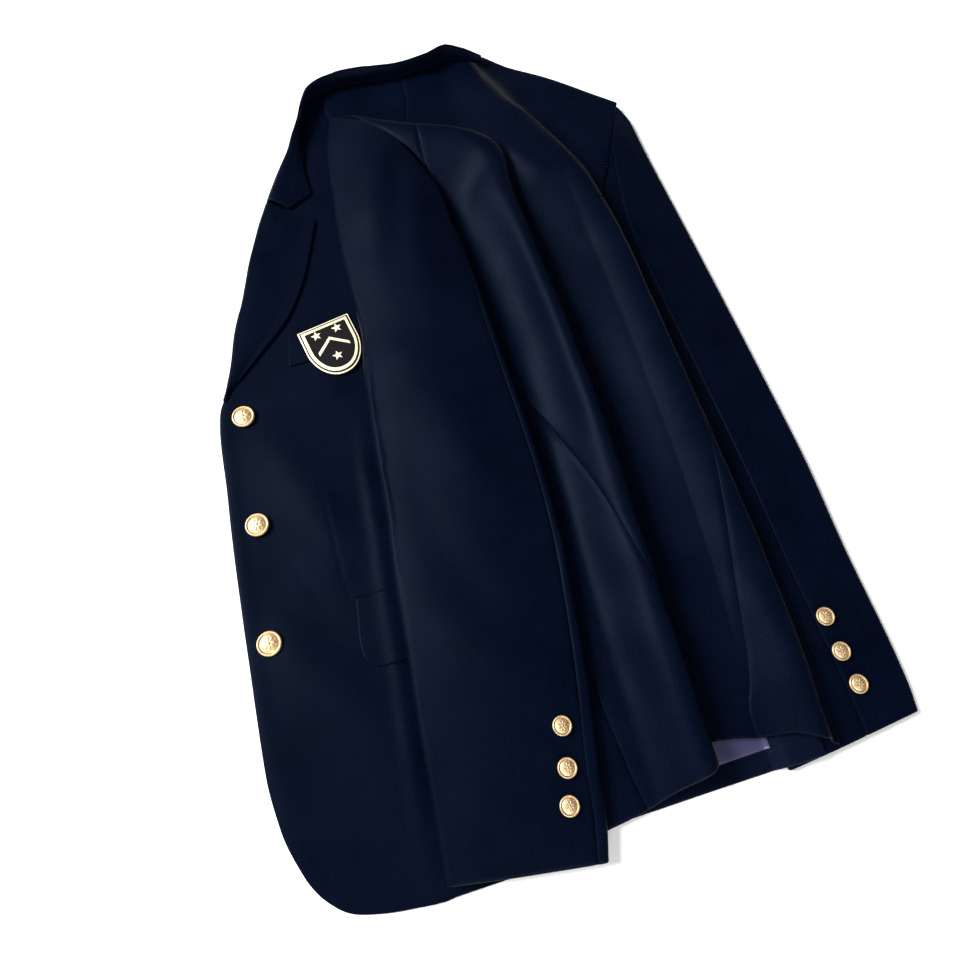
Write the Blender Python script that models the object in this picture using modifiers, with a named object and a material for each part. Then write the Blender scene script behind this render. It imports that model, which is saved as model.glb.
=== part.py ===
# A woman's blazer laid down back up, with its left front opened out flat beside it.
# Tables are in millimetres. X runs across the garment, Y from hem to collar, Z up from the surface.
import math

import bpy
import numpy as np
from mathutils import Vector

MM = 0.001
CLOTH = 2.0
SEAM_GAP = 0.5
LAYER_GAP = 0.4
FOLD_EASE = 24.0
TURN_WEIGHT = 9.0
HEM = -85.0
NECK = 657.0
ARMHOLE = 440.0
OVER_FRONT = 5.2
NECK_SINK = 0.35
SHOULDER_START = 205.0
SHOULDER_SLOPE = 0.93
FRONT_BUTTON = 10.0
CUFF_BUTTON = 7.3
BADGE_WIDTH = 50.0
BADGE_HEIGHT = 56.0
BADGE_AT = (-30.5, 358.0)
BADGE_TURN = 10.0
BADGE_RIM = 0.84
BADGE_PLATE = 1.8
BADGE_FACE = 0.5
BUTTON_SIDES = 16
CUFF_BUTTON_STANDS = 0.8
FLAP_THICK = 1.6
WELT_THICK = 1.5
LINING_THICK = 1.0

# Height of the lying body cloth: (x, height)
BODY_BASE = [(-40, 2), (12, 2), (36, 4.9), (60, 5.5), (100, 8), (122, 9), (200, 10), (262, 13.4), (330, 10)]

# Fold across the back, from the hem up and round over the left shoulder:
# (x, y, lift, width of its soft side, round of its steep side)
BACK_FOLD = [
    (149, -90, 18, 44, 6),
    (152, -30, 22, 44, 6),
    (155, 35, 25, 44, 6.5),
    (160, 100, 26, 44, 6.5),
    (166, 200, 26, 44, 6.5),
    (168, 320, 26, 45, 7),
    (167, 410, 27, 47, 7),
    (166, 462, 28, 50, 8),
    (168, 492, 29, 54, 10),
    (163, 513, 29, 58, 12),
    (151, 528, 29, 62, 12),
    (137, 538, 29, 66, 11),
    (99, 558, 28, 62, 11),
    (69, 577, 26, 50, 11),
    (45, 597, 20, 36, 10),
    (25, 612, 9, 22, 8),
    (6, 624, 2, 16, 8),
]

# Fold along the right side, from the hem up to the collar, in the same columns
SIDE_FOLD = [
    (236, -90, 9, 40, 6),
    (241, -40, 11, 46, 6),
    (248, 40, 14, 52, 6),
    (250, 140, 16, 55, 6.5),
    (250, 250, 18, 56, 7),
    (250, 340, 20, 58, 7),
    (248, 400, 21, 58, 8),
    (239, 460, 21, 58, 11),
    (223, 512, 19, 56, 15),
    (206, 552, 17, 52, 17),
    (192, 592, 13, 46, 17),
    (184, 630, 8, 38, 16),
    (180, 660, 3, 30, 14),
]

# Seams of the body in the flat cut: (station up the body, x)
LEFT_SIDE_EDGE = [(-90, 12.4), (450, 12.4)]
LEFT_BACK_SEAM = [
    (-90, 101), (-50, 97), (-3, 94), (80, 92), (160, 92), (232, 92), (300, 84), (380, 72), (450, 60),
]
CENTRE_SEAM = [
    (-90, 181), (-30, 176), (20, 170), (60, 163), (93, 157), (116, 153), (148, 148), (232, 128), (255, 121),
    (330, 107), (420, 100), (520, 102), (600, 108), (657, 112),
]
RIGHT_BACK_SEAM = [
    (-90, 198), (-61, 200), (-24, 208), (14, 216), (54, 225), (102, 237), (156, 249), (202, 256), (300, 262),
    (425, 266),
]
RIGHT_EDGE = [(-90, 254), (-20, 264), (60, 272), (200, 276), (430, 276)]
LEFT_ARMHOLE = [
    (440, 61), (452, 104), (470, 107), (493, 107), (510, 106), (522, 103), (538, 92), (556, 79), (575, 65.5),
    (599, 48.5), (609, 40), (617, 31), (630, 25), (657, 27),
]
RIGHT_ARMHOLE = [(400, 260.1), (438, 260.1), (450.6, 264.6), (494, 287.1), (551.8, 316.7), (580, 330)]

# How far the hem of the folded body lies above or below its straight line: (x, rise)
HEM_RISE = [
    (12, -11), (60, -4), (100, 1), (126, 8), (152, 14), (172, 30), (186, 28), (202, 22), (218, 20), (240, 10),
    (256, 1),
]
HEM_RISE_REACH = 80.0
# How far the neck edge reaches above its straight line, up to the collar: (x, rise)
NECK_RISE = [
    (25, 1), (40, 4), (54, 6.5), (82, 3.5), (112, 1), (141, 2.2), (160, 5.6), (172, 1.8), (184, 0), (205, 0),
]
NECK_RISE_REACH = 60.0

# Soft hollow inside the bend of the back's fold: middle x and y, radius
SOFT_HOLLOW = (112.0, 503.0, 46.0)
HOLLOW_TIMES = 14
ROW_TIMES = 3

# Left front: (y, x of its edge or roll, x of its side)
LEFT_FRONT = [
    (-97.5, -62, 12), (-93, -95, 12), (-86, -119.4, 12), (-78, -130, 12), (-67, -139.3, 12),
    (-54, -146, 12), (-20, -156, 12), (16, -159.3, 12), (67, -157.8, 12), (121, -155.5, 12),
    (188, -152.3, 12), (250, -148, 12), (297, -145, 12), (320, -141.5, 12), (327, -139.2, 12),
    (330.5, -136, 12), (333, -133.4, 12), (336, -130.6, 12), (344, -126.6, 12), (365, -117.6, 12),
    (394, -109, 12), (424, -96.5, 12), (470, -81, 12), (512, -62.5, 14), (530, -50, 15), (544, -43, 16),
    (573, -26.6, 18), (590, -16.8, 24), (606, -9.6, 30), (625, -1, 36), (642, 7.6, 40), (652, 13.6, 44),
]

# Left lapel along its roll: (roll x, roll y, edge x, edge y, roll height)
LEFT_LAPEL = [
    (-136.5, 331, -129.5, 340, 5.4),
    (-131.9, 343.4, -118, 350, 6.0),
    (-124.2, 364.8, -96, 370, 6.8),
    (-115.9, 394.1, -65.6, 398.5, 7.4),
    (-110, 410, -54, 415, 7.8),
    (-103.6, 424.4, -44, 432, 8.0),
    (-95.5, 447, -34.5, 453, 8.2),
    (-87.7, 469.7, -27, 472, 8.4),
    (-78, 493, -20.5, 490, 8.6),
    (-69.6, 512.3, -17.0, 501, 8.8),
    (-63.5, 524.5, -27.5, 511, 8.8),
    (-58.6, 534.2, -38.8, 522, 8.8),
]

# Collar along its roll: (roll x, roll y, roll height, edge x, edge y, edge height, foot inset, foot height)
COLLAR = [
    (-57.4, 536.6, 9.0, -38.4, 523.6, 4.2, 7, 1.2),
    (-55.2, 541.2, 9.0, -25.0, 529.5, 3.8, 7, 1.2),
    (-53.0, 545.5, 9.2, -12.8, 536.0, 3.6, 7, 1.2),
    (-45.0, 560.0, 9.8, -13.6, 550.0, 3.8, 7, 1.2),
    (-37.4, 572.7, 10.6, -14.0, 563.0, 4.2, 7, 1.2),
    (-25.2, 590.9, 12.6, -10.0, 587.0, 5.2, 6, 1.2),
    (-17.5, 605.6, 15.0, -7.6, 603.0, 6.4, 5, 1.3),
    (-7.5, 623.0, 17.6, -1.5, 621.0, 7.6, 4, 1.5),
    (0.8, 641.6, 19.8, 7.5, 638.4, 8.6, 3.5, 2.0),
    (11.8, 658.2, 21.4, 17.6, 651.4, 9.4, 3, 2.4),
    (31.4, 667.0, 22.4, 33.6, 660.4, 10.0, 3, 2.6),
    (53.6, 669.4, 22.6, 53.4, 662.0, 10.2, 3, 2.8),
    (82.3, 666.0, 23.2, 81.6, 659.4, 10.4, 3, 3.0),
    (112.0, 662.0, 24.2, 111.2, 656.4, 10.6, 3, 3.0),
    (141.5, 663.6, 26.2, 141.4, 657.6, 10.8, 3, 3.0),
    (163.0, 668.2, 27.6, 163.4, 661.6, 10.8, 3, 5.0),
    (181.0, 661.6, 25.0, 179.8, 655.8, 11.2, 3, 10.0),
    (200.0, 650.4, 19.6, 197.6, 645.6, 11.6, 3, 11.2),
]

# Sleeves from cuff to head:
# (left x, left y, right x, right y, left floor, right floor, height, edge round, bulge)
LEFT_SLEEVE = [
    (-51, -88, 62, -106, 3.2, 7.2, 10.5, 3.8, 0),
    (-49.5, -66, 70, -80, 3.3, 7.8, 11.5, 4.0, 0),
    (-47, -40, 77, -45, 3.8, 8.4, 13.0, 4.4, 0),
    (-43, 13, 90, 13, 4.6, 9.2, 15.5, 5.0, 0),
    (-37, 73, 100, 73, 5.0, 9.9, 17.0, 5.6, 0),
    (-32, 129, 108, 129, 5.0, 10.2, 18.5, 6.0, 0),
    (-24, 190, 112, 190, 5.0, 10.4, 19.5, 6.4, 0),
    (-19, 248, 113, 248, 4.6, 10.4, 20.5, 6.8, 0),
    (-9.5, 324, 113, 324, 4.4, 10.4, 21.5, 7.0, 0),
    (-3.0, 360, 113, 360, 4.4, 10.4, 22.5, 7.0, 0),
    (-2, 404, 112.6, 400, 4.4, 10.4, 24.0, 7.0, 0),
    (0, 455, 111, 440, 4.4, 10.6, 26.0, 7.0, 0),
    (5, 505, 110, 462, 4.6, 11.5, 27.5, 6.8, 3),
    (10, 550, 109, 480, 5.0, 12.5, 27.0, 6.4, 5),
    (17, 588, 107, 492, 6.0, 14.0, 25.0, 5.8, 7),
    (26, 615, 104, 504, 8.0, 15.0, 22.0, 5.0, 9),
]
LEFT_UNDER_ROWS = 12
RIGHT_SLEEVE = [
    (211, -90, 323, -80, 0, 0, 9.0, 3.4, 0),
    (211, -60, 326, -56, 0, 0, 9.4, 3.4, 0),
    (211, -20, 327.5, -18, 0, 0, 9.8, 3.4, 0),
    (211, 40, 328, 40, 0, 0, 10.2, 3.4, 0),
    (211, 140, 332, 140, 0, 0, 10.4, 3.4, 0),
    (211, 243, 331, 243, 0, 0, 10.4, 3.4, 0),
    (212, 320, 329, 352, 0, 0, 10.4, 3.4, 0),
    (219, 378, 327, 430, 0, 0, 10.6, 3.4, 0),
    (234, 410, 325.5, 482, 0, 0, 11.0, 3.6, 0),
    (250, 432, 325, 526, 0, 0, 11.4, 3.8, 0),
    (266, 449, 319, 552, 0, 0, 11.6, 4.0, 0),
]
# Parts of each section that its top sleeve covers above the end of the under sleeve, cuff to head
LEFT_HEAD_PARTS = [(-1.0, 1.08), (-0.9, 1.2), (-0.8, 1.35), (-0.7, 1.5)]
# Where the back seam crosses the top of a sleeve, cuff to head, as parts of its width
LEFT_BACK_SEAM_AT = [(0, 0.955), (2, 0.945), (4, 0.97), (6, 0.985), (15, 0.985)]
RIGHT_BACK_SEAM_AT = [(0, 0.585), (4, 0.545), (10, 0.5)]
FRONT_SEAM_INSET = 0.1

# Right front, lying inside up under the back: (y, x of its front edge, x of its side)
RIGHT_FRONT = [
    (-87, 84, 238), (-80, 60, 239), (-66, 48, 240), (-40, 42, 242), (40, 40, 248), (200, 40, 256),
    (325, 40, 256), (362, 48, 256), (384, 52, 254), (400, 57, 250), (420, 66, 246), (438, 74, 246),
    (462, 86, 255), (480, 95, 268), (500, 104, 280), (545, 128, 304), (570, 142, 287), (610, 164, 248),
    (648, 186, 212),
]
RIGHT_FRONT_LOW_ROWS = 4
RIGHT_FRONT_HIGH_ROWS = 7
# Height of its top where it climbs on to the right sleeve: (x, height)
RIGHT_FRONT_RISE = [
    (190, 2), (200, 2), (206, 5.2), (211, 8.7), (216, 10.1), (225, 11.2), (240, 12.2), (256, 12.9),
]
RISE_STARTS = 200.0
RISE_FADES_AT = 470.0
RISE_FADE = 30.0
LINING_AREA = (96.0, 204.0, -72.0, 50.0)

# Left side panel begins here, over the left front's side
SIDE_PANEL_X = 12.2
# Pocket flap and chest welt: (y, x of the left end, x of the right end)
FLAP = [
    (70, -56, 52), (72, -63, 56), (76, -67.5, 59), (82, -69.8, 60), (90, -70, 60),
    (110, -67.5, 61), (127, -65, 62),
]
WELT = [(350, -73, 16), (361, -71, 18), (372, -69, 20), (383, -67, 22)]
FRONT_BUTTONS = [(-121.9, 311.9), (-128.9, 210.6), (-138.0, 112.3)]
LEFT_CUFF_BUTTONS = [(59, -10.9), (53, -38.7), (46, -64.3)]
RIGHT_CUFF_BUTTONS = [(283.4, 4.8), (284, -22.4), (285.5, -48.8)]

# Profile of a button from the middle of its back round to the middle of its dome: (parts of its radius)
BUTTON_PROFILE = [
    (0.0, 0.0), (0.62, 0.0), (0.94, 0.12), (1.0, 0.22), (0.96, 0.32), (0.84, 0.34), (0.6, 0.42), (0.3, 0.48),
    (0.0, 0.5),
]

NAVY = (0.006, 0.012, 0.034)
NAVY_INSIDE = (0.010, 0.012, 0.040)
SATIN = (0.030, 0.032, 0.085)
GOLD = (0.62, 0.40, 0.14)
BLACK = (0.008, 0.008, 0.010)


def smooth(rows, at):
    """Values of a table's other columns, read smoothly and without overshoot at its first column."""
    table = np.array(rows, float)
    knots = table[:, 0]
    at = np.clip(np.asarray(at, float), knots[0], knots[-1])
    step = np.diff(knots)
    slope = np.diff(table[:, 1:], axis=0) / step[:, None]
    bend = np.vstack([slope[:1], np.zeros_like(slope[1:]), slope[-1:]])
    before, after = slope[:-1], slope[1:]
    same_way = before * after > 0
    total = np.where(same_way, before + after, 1.0)
    bend[1:-1] = np.where(same_way, 2 * before * after / total, 0.0)
    k = np.clip(np.searchsorted(knots, at, side="right") - 1, 0, len(step) - 1)
    t = ((at - knots[k]) / step[k])[..., None]
    width = step[k][..., None]
    low, high = table[k, 1:], table[k + 1, 1:]
    rest = 1 - t
    return (
        low * (1 + 2 * t) * rest**2
        + high * (3 - 2 * t) * t**2
        + (bend[k] * rest - bend[k + 1] * t) * width * t * rest
    )


def smooth_x(rows, at):
    """The one other column of a two-column table."""
    return smooth(rows, at)[..., 0]


def path_through(rows, count):
    """A smooth path through rows of any columns, spaced by the length of the first two."""
    table = np.array(rows, float)
    run = np.r_[0, np.cumsum(np.hypot(*np.diff(table[:, :2], axis=0).T))]
    return smooth(np.column_stack([run, table]), np.linspace(0, run[-1], count))


def steep_side(far, lift, turn_radius):
    """How far out and how far down the cloth has gone, a length of cloth beyond a fold's crest."""
    turn = np.arccos(np.clip(1 - lift / (2 * turn_radius), 0, 1))
    arc = turn_radius * turn
    straight = np.maximum(lift - 2 * turn_radius, 0)
    whole = 2 * arc + straight
    reach = 2 * turn_radius * np.sin(turn)
    first = np.clip(far, 0, arc) / turn_radius
    last = np.clip(whole - far, 0, arc) / turn_radius
    on_first = far < arc + straight
    out = np.where(on_first, turn_radius * np.sin(first), reach - turn_radius * np.sin(last))
    middle = np.clip(far - arc, 0, straight)
    first_drop = turn_radius * (1 - np.cos(first)) + middle
    last_drop = lift - turn_radius * (1 - np.cos(last))
    eased_end = whole + FOLD_EASE
    eased = reach + np.clip(far - whole, 0, FOLD_EASE) * (eased_end - reach) / FOLD_EASE
    eased = eased + np.maximum(far - eased_end, 0)
    beyond = far > whole
    return np.where(beyond, eased, out), np.where(beyond, lift, np.where(on_first, first_drop, last_drop))


def fold(rows, x, y):
    """Sideways shift and lift that one fold gives to points of the flat cut."""
    path = path_through(rows, 260)
    along = np.gradient(path[:, :2], axis=0)
    along /= np.linalg.norm(along, axis=1)[:, None]
    flat = np.column_stack([np.ravel(x), np.ravel(y)])
    away = flat[:, None, :] - path[None, :, :2]
    nearest = np.argmin((away**2).sum(2), axis=1)
    gap = away[np.arange(len(flat)), nearest]
    ahead = along[nearest]
    side = ahead[:, 0] * gap[:, 1] - ahead[:, 1] * gap[:, 0]
    far = np.abs(side)
    lift, width, turn_radius = path[nearest, 2:].T
    soft = lift * 0.5 * (1 + np.cos(math.pi * np.clip(far / width, 0, 1)))
    out, drop = steep_side(far, lift, turn_radius)
    outward = np.column_stack([ahead[:, 1], -ahead[:, 0]])
    shift = np.where((side < 0)[:, None], outward * (out - far)[:, None], 0)
    raised = np.where(side < 0, lift - drop, soft)
    shape = np.shape(x)
    return shift[:, 0].reshape(shape), shift[:, 1].reshape(shape), raised.reshape(shape)


def base_height(x, y):
    """Height of the body cloth between its folds."""
    low = smooth_x(BODY_BASE, x) * (1 - NECK_SINK * np.clip((y - 560) / 80, 0, 1))
    return np.maximum(low, OVER_FRONT * np.clip((y - ARMHOLE) / 40, 0, 1))


def body_surface(x, station):
    """The folded outer side of the body, from its flat cut."""
    x = np.asarray(x, float)
    station = np.asarray(station, float)
    rise = smooth_x(HEM_RISE, x) * np.clip(1 - (station - HEM) / HEM_RISE_REACH, 0, 1)
    rise += smooth_x(NECK_RISE, x) * np.clip(1 - (NECK - station) / NECK_RISE_REACH, 0, 1)
    slope = np.clip((station - ARMHOLE) / (NECK - ARMHOLE), 0, 1)
    y = station + rise - SHOULDER_SLOPE * np.maximum(x - SHOULDER_START, 0) * slope
    back_x, back_y, back_lift = fold(BACK_FOLD, x, y)
    side_x, side_y, side_lift = fold(SIDE_FOLD, x, y)
    at_x = x + back_x + side_x
    at_y = y + back_y + side_y
    return np.stack([at_x, at_y, base_height(at_x, at_y) + back_lift + side_lift], axis=-1)


def flat_place(wanted, station):
    """Where the flat cut is trimmed at a station so that the folded edge follows the wanted line."""
    fine = np.linspace(245, 345, 401)
    points = body_surface(fine, np.full_like(fine, station))
    over = points[:, 0] - smooth_x(wanted, points[:, 1])
    first = int(np.argmax(over > 0))
    part = over[first] / (over[first] - over[first - 1])
    return fine[first] - part * (fine[first] - fine[first - 1])


def surface_normals(surface, u, v, step=0.5):
    """Unit normals of a surface given as a function of two flat directions."""
    across = surface(u + step, v) - surface(u - step, v)
    along = surface(u, v + step) - surface(u, v - step)
    normal = np.cross(across, along)
    return normal / np.linalg.norm(normal, axis=-1)[..., None]


def grid_normals(points):
    """Unit normals of a grid of points."""
    normal = np.cross(np.gradient(points, axis=1), np.gradient(points, axis=0))
    return normal / np.linalg.norm(normal, axis=-1)[..., None]


def clear_scene():
    for item in list(bpy.data.objects):
        bpy.data.objects.remove(item, do_unlink=True)


def material(name, colour, roughness, metallic=0.0):
    finish = bpy.data.materials.new(name)
    finish.use_nodes = True
    shader = finish.node_tree.nodes["Principled BSDF"]
    shader.inputs["Base Color"].default_value = (*colour, 1)
    shader.inputs["Roughness"].default_value = roughness
    shader.inputs["Metallic"].default_value = metallic
    finish.diffuse_color = (*colour, 1)
    return finish


def add_object(name, vertices, faces, finish, sharp=40):
    mesh = bpy.data.meshes.new(name)
    mesh.from_pydata([tuple(v) for v in np.asarray(vertices) * MM], [], faces)
    mesh.materials.append(finish)
    mesh.shade_smooth()
    mesh.set_sharp_from_angle(angle=math.radians(sharp))
    made = bpy.data.objects.new(name, mesh)
    bpy.data.collections["blazer"].objects.link(made)
    return made


def wall(name, outer, inner, finish):
    """A closed cloth wall between an outer and an inner grid of points."""
    rows, columns = outer.shape[:2]
    count = rows * columns
    vertices = np.vstack([outer.reshape(-1, 3), inner.reshape(-1, 3)])
    faces = []
    for i in range(rows - 1):
        for j in range(columns - 1):
            a = i * columns + j
            b, c, d = a + 1, a + columns + 1, a + columns
            faces.append((a, b, c, d))
            faces.append((a + count, d + count, c + count, b + count))
    rim = [j for j in range(columns)]
    rim += [i * columns + columns - 1 for i in range(1, rows)]
    rim += [(rows - 1) * columns + j for j in range(columns - 2, -1, -1)]
    rim += [i * columns for i in range(rows - 2, 0, -1)]
    for start, end in zip(rim, rim[1:] + rim[:1]):
        faces.append((end, start, start + count, end + count))
    if enclosed_volume(vertices, faces) < 0:
        faces = [tuple(reversed(face)) for face in faces]
    return add_object(name, vertices, faces, finish)


def enclosed_volume(vertices, faces):
    """Volume inside four-sided faces, negative where they face inwards."""
    corners = np.asarray(vertices, float)[np.array(faces)]
    centre = corners.mean(1)
    facing = np.cross(corners[:, 2] - corners[:, 0], corners[:, 3] - corners[:, 1]) / 2
    return float((centre * facing).sum() / 3)


def spaced_columns(surface, left, right, station, count):
    """Columns of one row, spaced along the folded cloth and closer where it turns."""
    fine = np.linspace(left, right, 160)
    points = surface(fine, np.full_like(fine, station))
    steps = np.diff(points, axis=0)
    length = np.linalg.norm(steps, axis=1)
    ahead = steps / length[:, None]
    turn = np.r_[0, np.arccos(np.clip((ahead[1:] * ahead[:-1]).sum(1), -1, 1))]
    run = np.r_[0, np.cumsum(length + TURN_WEIGHT * turn)]
    return np.interp(np.linspace(0, run[-1], count), run, fine)


def even_rows(table):
    """Columns that drift evenly from row to row."""
    for _ in range(ROW_TIMES):
        middle = (table[:-2] + 2 * table[1:-1] + table[2:]) / 4
        table = np.vstack([table[:1], middle, table[-1:]])
    return table


def soften(grid, part):
    """A grid of values drawn towards its neighbours where the part is above zero."""
    for _ in range(HOLLOW_TIMES):
        padded = np.pad(grid, ((1, 1), (1, 1), (0, 0)), mode="reflect", reflect_type="odd")
        around = (padded[:-2, 1:-1] + padded[2:, 1:-1] + padded[1:-1, :-2] + padded[1:-1, 2:]) / 4
        grid = grid + part * (around - grid) * 0.9
    return grid


def body_panel(name, left, right, stations, count, finish):
    """One cut panel of the body between two seams."""
    half = SEAM_GAP / 2
    across, up = [], []
    for station in stations:
        row = spaced_columns(body_surface, left(station) + half, right(station) - half, station, count)
        across.append(row)
        up.append(np.full(count, float(station)))
    across, up = np.array(across), np.array(up)
    width = across[:, -1:] - across[:, :1]
    across = across[:, :1] + even_rows((across - across[:, :1]) / width) * width
    outer = body_surface(across, up)
    normals = surface_normals(body_surface, across, up)
    middle_x, middle_y, radius = SOFT_HOLLOW
    near = np.clip(1.5 - 1.5 * np.hypot(outer[..., 0] - middle_x, outer[..., 1] - middle_y) / radius, 0, 1)
    part = (near * near * (3 - 2 * near))[..., None]
    outer = soften(outer, part)
    normals = soften(normals, part)
    normals /= np.linalg.norm(normals, axis=-1)[..., None]
    return wall(name, outer, outer - CLOTH * normals, finish)


def body(navy):
    low = [
        HEM, -62, -38, -14, 6, 22, 36, 49, 61, 73, 85, 98, 114, 131, 147, 162, 177, 193, 212, 233, 255, 305,
        360, 400, 425,
    ]
    high = [440, 452, 466, 480] + list(np.arange(492, 636, 8.6)) + [NECK]

    def left_edge(station):
        if station <= ARMHOLE:
            return smooth_x(LEFT_BACK_SEAM, station)
        return smooth_x(LEFT_ARMHOLE, station)

    def right_edge(station):
        if station <= 425:
            return smooth_x(RIGHT_BACK_SEAM, station)
        return flat_place(RIGHT_ARMHOLE, station)

    def seam(rows):
        return lambda station: smooth_x(rows, station)

    body_panel("left_side", seam(LEFT_SIDE_EDGE), seam(LEFT_BACK_SEAM), low, 8, navy)
    body_panel("back_left", left_edge, seam(CENTRE_SEAM), low + high, 19, navy)
    body_panel("back_right", seam(CENTRE_SEAM), right_edge, low + high, 17, navy)
    body_panel("right_side", seam(RIGHT_BACK_SEAM), seam(RIGHT_EDGE), low, 12, navy)


def flat_panel(name, rows, stations, count, thickness, finish, below=None):
    """A panel between two edges, lying on the surface or just above the cloth whose underside is given."""
    edges = smooth(rows, np.array(stations, float))
    part = np.linspace(0, 1, count)
    x = edges[:, :1] + (edges[:, 1:2] - edges[:, :1]) * part
    y = np.repeat(np.array(stations, float)[:, None], count, axis=1)
    under = np.zeros_like(x) if below is None else below(x, y) + CLOTH + LAYER_GAP
    low = np.stack([x, y, under], axis=-1)
    return wall(name, low + np.array([0, 0, thickness]), low, finish)


def ground_top(x, y):
    """Underside of the left front and left side together."""
    return np.where(x < SIDE_PANEL_X, 0.0, base_height(x, y) - CLOTH)


def fronts(navy, inside, satin):
    stations = [row[0] for row in LEFT_FRONT]
    flat_panel("left_front", LEFT_FRONT, stations, 9, CLOTH, navy)

    def risen(x, y):
        fade = np.clip((RISE_FADES_AT - y) / RISE_FADE, 0, 1)
        return (smooth_x(RIGHT_FRONT_RISE, x) - CLOTH) * fade

    stations = [row[0] for row in RIGHT_FRONT[:RIGHT_FRONT_LOW_ROWS]]
    stations += list(range(0, 360, 40))
    stations += [row[0] for row in RIGHT_FRONT[RIGHT_FRONT_HIGH_ROWS:]]
    across = []
    for low, high in smooth(RIGHT_FRONT, np.array(stations, float)):
        flat_end = min(RISE_STARTS, high - 24)
        across.append(np.r_[np.linspace(low, flat_end, 5), np.linspace(flat_end + 6, high, 9)])
    x = np.array(across)
    y = np.repeat(np.array(stations, float)[:, None], x.shape[1], axis=1)
    under = np.stack([x, y, risen(x, y)], axis=-1)
    wall("right_front", under + np.array([0, 0, CLOTH]), under, inside)

    left, right, start, end = LINING_AREA
    area = [(start, left, right), (end, left, right)]
    flat_panel("right_lining", area, np.linspace(start, end, 6), 8, LINING_THICK, satin, risen)
    flat_panel("pocket_flap", FLAP, [row[0] for row in FLAP], 12, FLAP_THICK, navy, ground_top)
    flat_panel("chest_welt", WELT, [row[0] for row in WELT], 7, WELT_THICK, navy, ground_top)


def folded_over(name, sections, finish, count):
    """A cloth folded over along its roll, through a cross-section of a few points at each row."""
    lines = []
    for points in sections:
        lines.append(path_through_space(points, count))
    middle = np.array(lines)
    offset = grid_normals(middle) * CLOTH / 2
    return wall(name, middle - offset, middle + offset, finish)


def path_through_space(points, count):
    """Evenly spaced points of a smooth curve through points in space."""
    table = np.array(points, float)
    run = np.r_[0, np.cumsum(np.linalg.norm(np.diff(table, axis=0), axis=1))]
    fine = smooth_ends(run, table, np.linspace(0, run[-1], 120))
    length = np.r_[0, np.cumsum(np.linalg.norm(np.diff(fine, axis=0), axis=1))]
    at = np.linspace(0, length[-1], count)
    return np.column_stack([np.interp(at, length, fine[:, k]) for k in range(3)])


def smooth_ends(run, table, at):
    """Cubic through points with central slopes, which rounds a roll without flat spots."""
    slope = np.gradient(table, run, axis=0)
    k = np.clip(np.searchsorted(run, at, side="right") - 1, 0, len(run) - 2)
    step = (run[k + 1] - run[k])[:, None]
    t = (at - run[k])[:, None] / step
    rest = 1 - t
    return (
        table[k] * (1 + 2 * t) * rest**2
        + table[k + 1] * (3 - 2 * t) * t**2
        + (slope[k] * rest - slope[k + 1] * t) * step * t * rest
    )


def lapel(navy):
    sections = []
    for roll_x, roll_y, edge_x, edge_y, height in LEFT_LAPEL:
        roll = np.array([roll_x, roll_y], float)
        across = np.array([edge_x, edge_y]) - roll
        width = np.linalg.norm(across)
        across /= width
        half = height / 2
        foot = min(half + 1.2, width * 0.4)
        shape = [(foot, 1.0), (half * 0.5, 1.5), (1.0, half)]
        shape += [(half * 0.7, height - 1.2), (half + 2.6, height - 1.0)]
        if width > 30:
            shape += [(width * 0.4, height * 0.5 + 1.8)]
        shape += [(width * 0.8, 3.7), (width, 3.6)]
        if width < 20:
            shape = [(foot, 1.0), (1.0, half * 0.9), (half * 0.9, height - 1.0), (width, 3.6)]
        sections.append([(*(roll + across * far), z) for far, z in shape])
    folded_over("left_lapel", sections, navy, 15)


def collar(navy):
    rolls = np.array([row[:2] for row in COLLAR])
    along = np.gradient(rolls, axis=0)
    along /= np.linalg.norm(along, axis=1)[:, None]
    sections = []
    for row, ahead in zip(COLLAR, along):
        roll_x, roll_y, height, edge_x, edge_y, edge_z, inset, foot_z = row
        inward = np.array([ahead[1], -ahead[0]])
        roll = np.array([roll_x, roll_y], float)
        foot = roll + inward * inset
        side = roll + inward * 1.0
        top = roll + inward * 3.4
        halfway = (top + (edge_x, edge_y)) / 2 + inward
        sections.append([
            (*foot, foot_z),
            (*side, foot_z + (height - foot_z) * 0.45),
            (*top, height - 1.0),
            (*halfway, (height + edge_z) / 2 + 0.8),
            (edge_x, edge_y, edge_z),
        ])
    folded_over("collar", sections, navy, 13)


def sleeve_point(row, at, inset):
    """A point of a sleeve's section: 0 to 1 over the top, 1 to 2 round the right edge, 2 to 3 below."""
    left_x, left_y, right_x, right_y, left_floor, right_floor, height, edge, bulge = row
    width = math.hypot(right_x - left_x, right_y - left_y)
    radius = edge - inset
    arch = height - 2 * edge
    core = width - 2 * edge
    start = math.atan2(arch * math.pi, core)
    at = at % 4
    if at <= 1:
        steep = math.atan2(arch * math.pi * math.cos(math.pi * at), core)
        across = edge + core * at - radius * math.sin(steep)
        up = edge + arch * math.sin(math.pi * at) + radius * math.cos(steep)
    elif at <= 2:
        angle = math.pi / 2 - start - (at - 1) * (math.pi - start)
        across = edge + core + radius * math.cos(angle)
        up = edge + radius * math.sin(angle)
    elif at <= 3:
        across = edge + core * (3 - at)
        up = edge - radius
    else:
        angle = 1.5 * math.pi - (at - 3) * (math.pi - start)
        across = edge + radius * math.cos(angle)
        up = edge + radius * math.sin(angle)
    part = across / width
    ahead = np.array([left_y - right_y, right_x - left_x]) / width
    swell = bulge * math.sin(math.pi * min(max(part, 0), 1))
    x = left_x + (right_x - left_x) * part + ahead[0] * swell
    y = left_y + (right_y - left_y) * part + ahead[1] * swell
    z = left_floor + (right_floor - left_floor) * part + up
    return x, y, z


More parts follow.
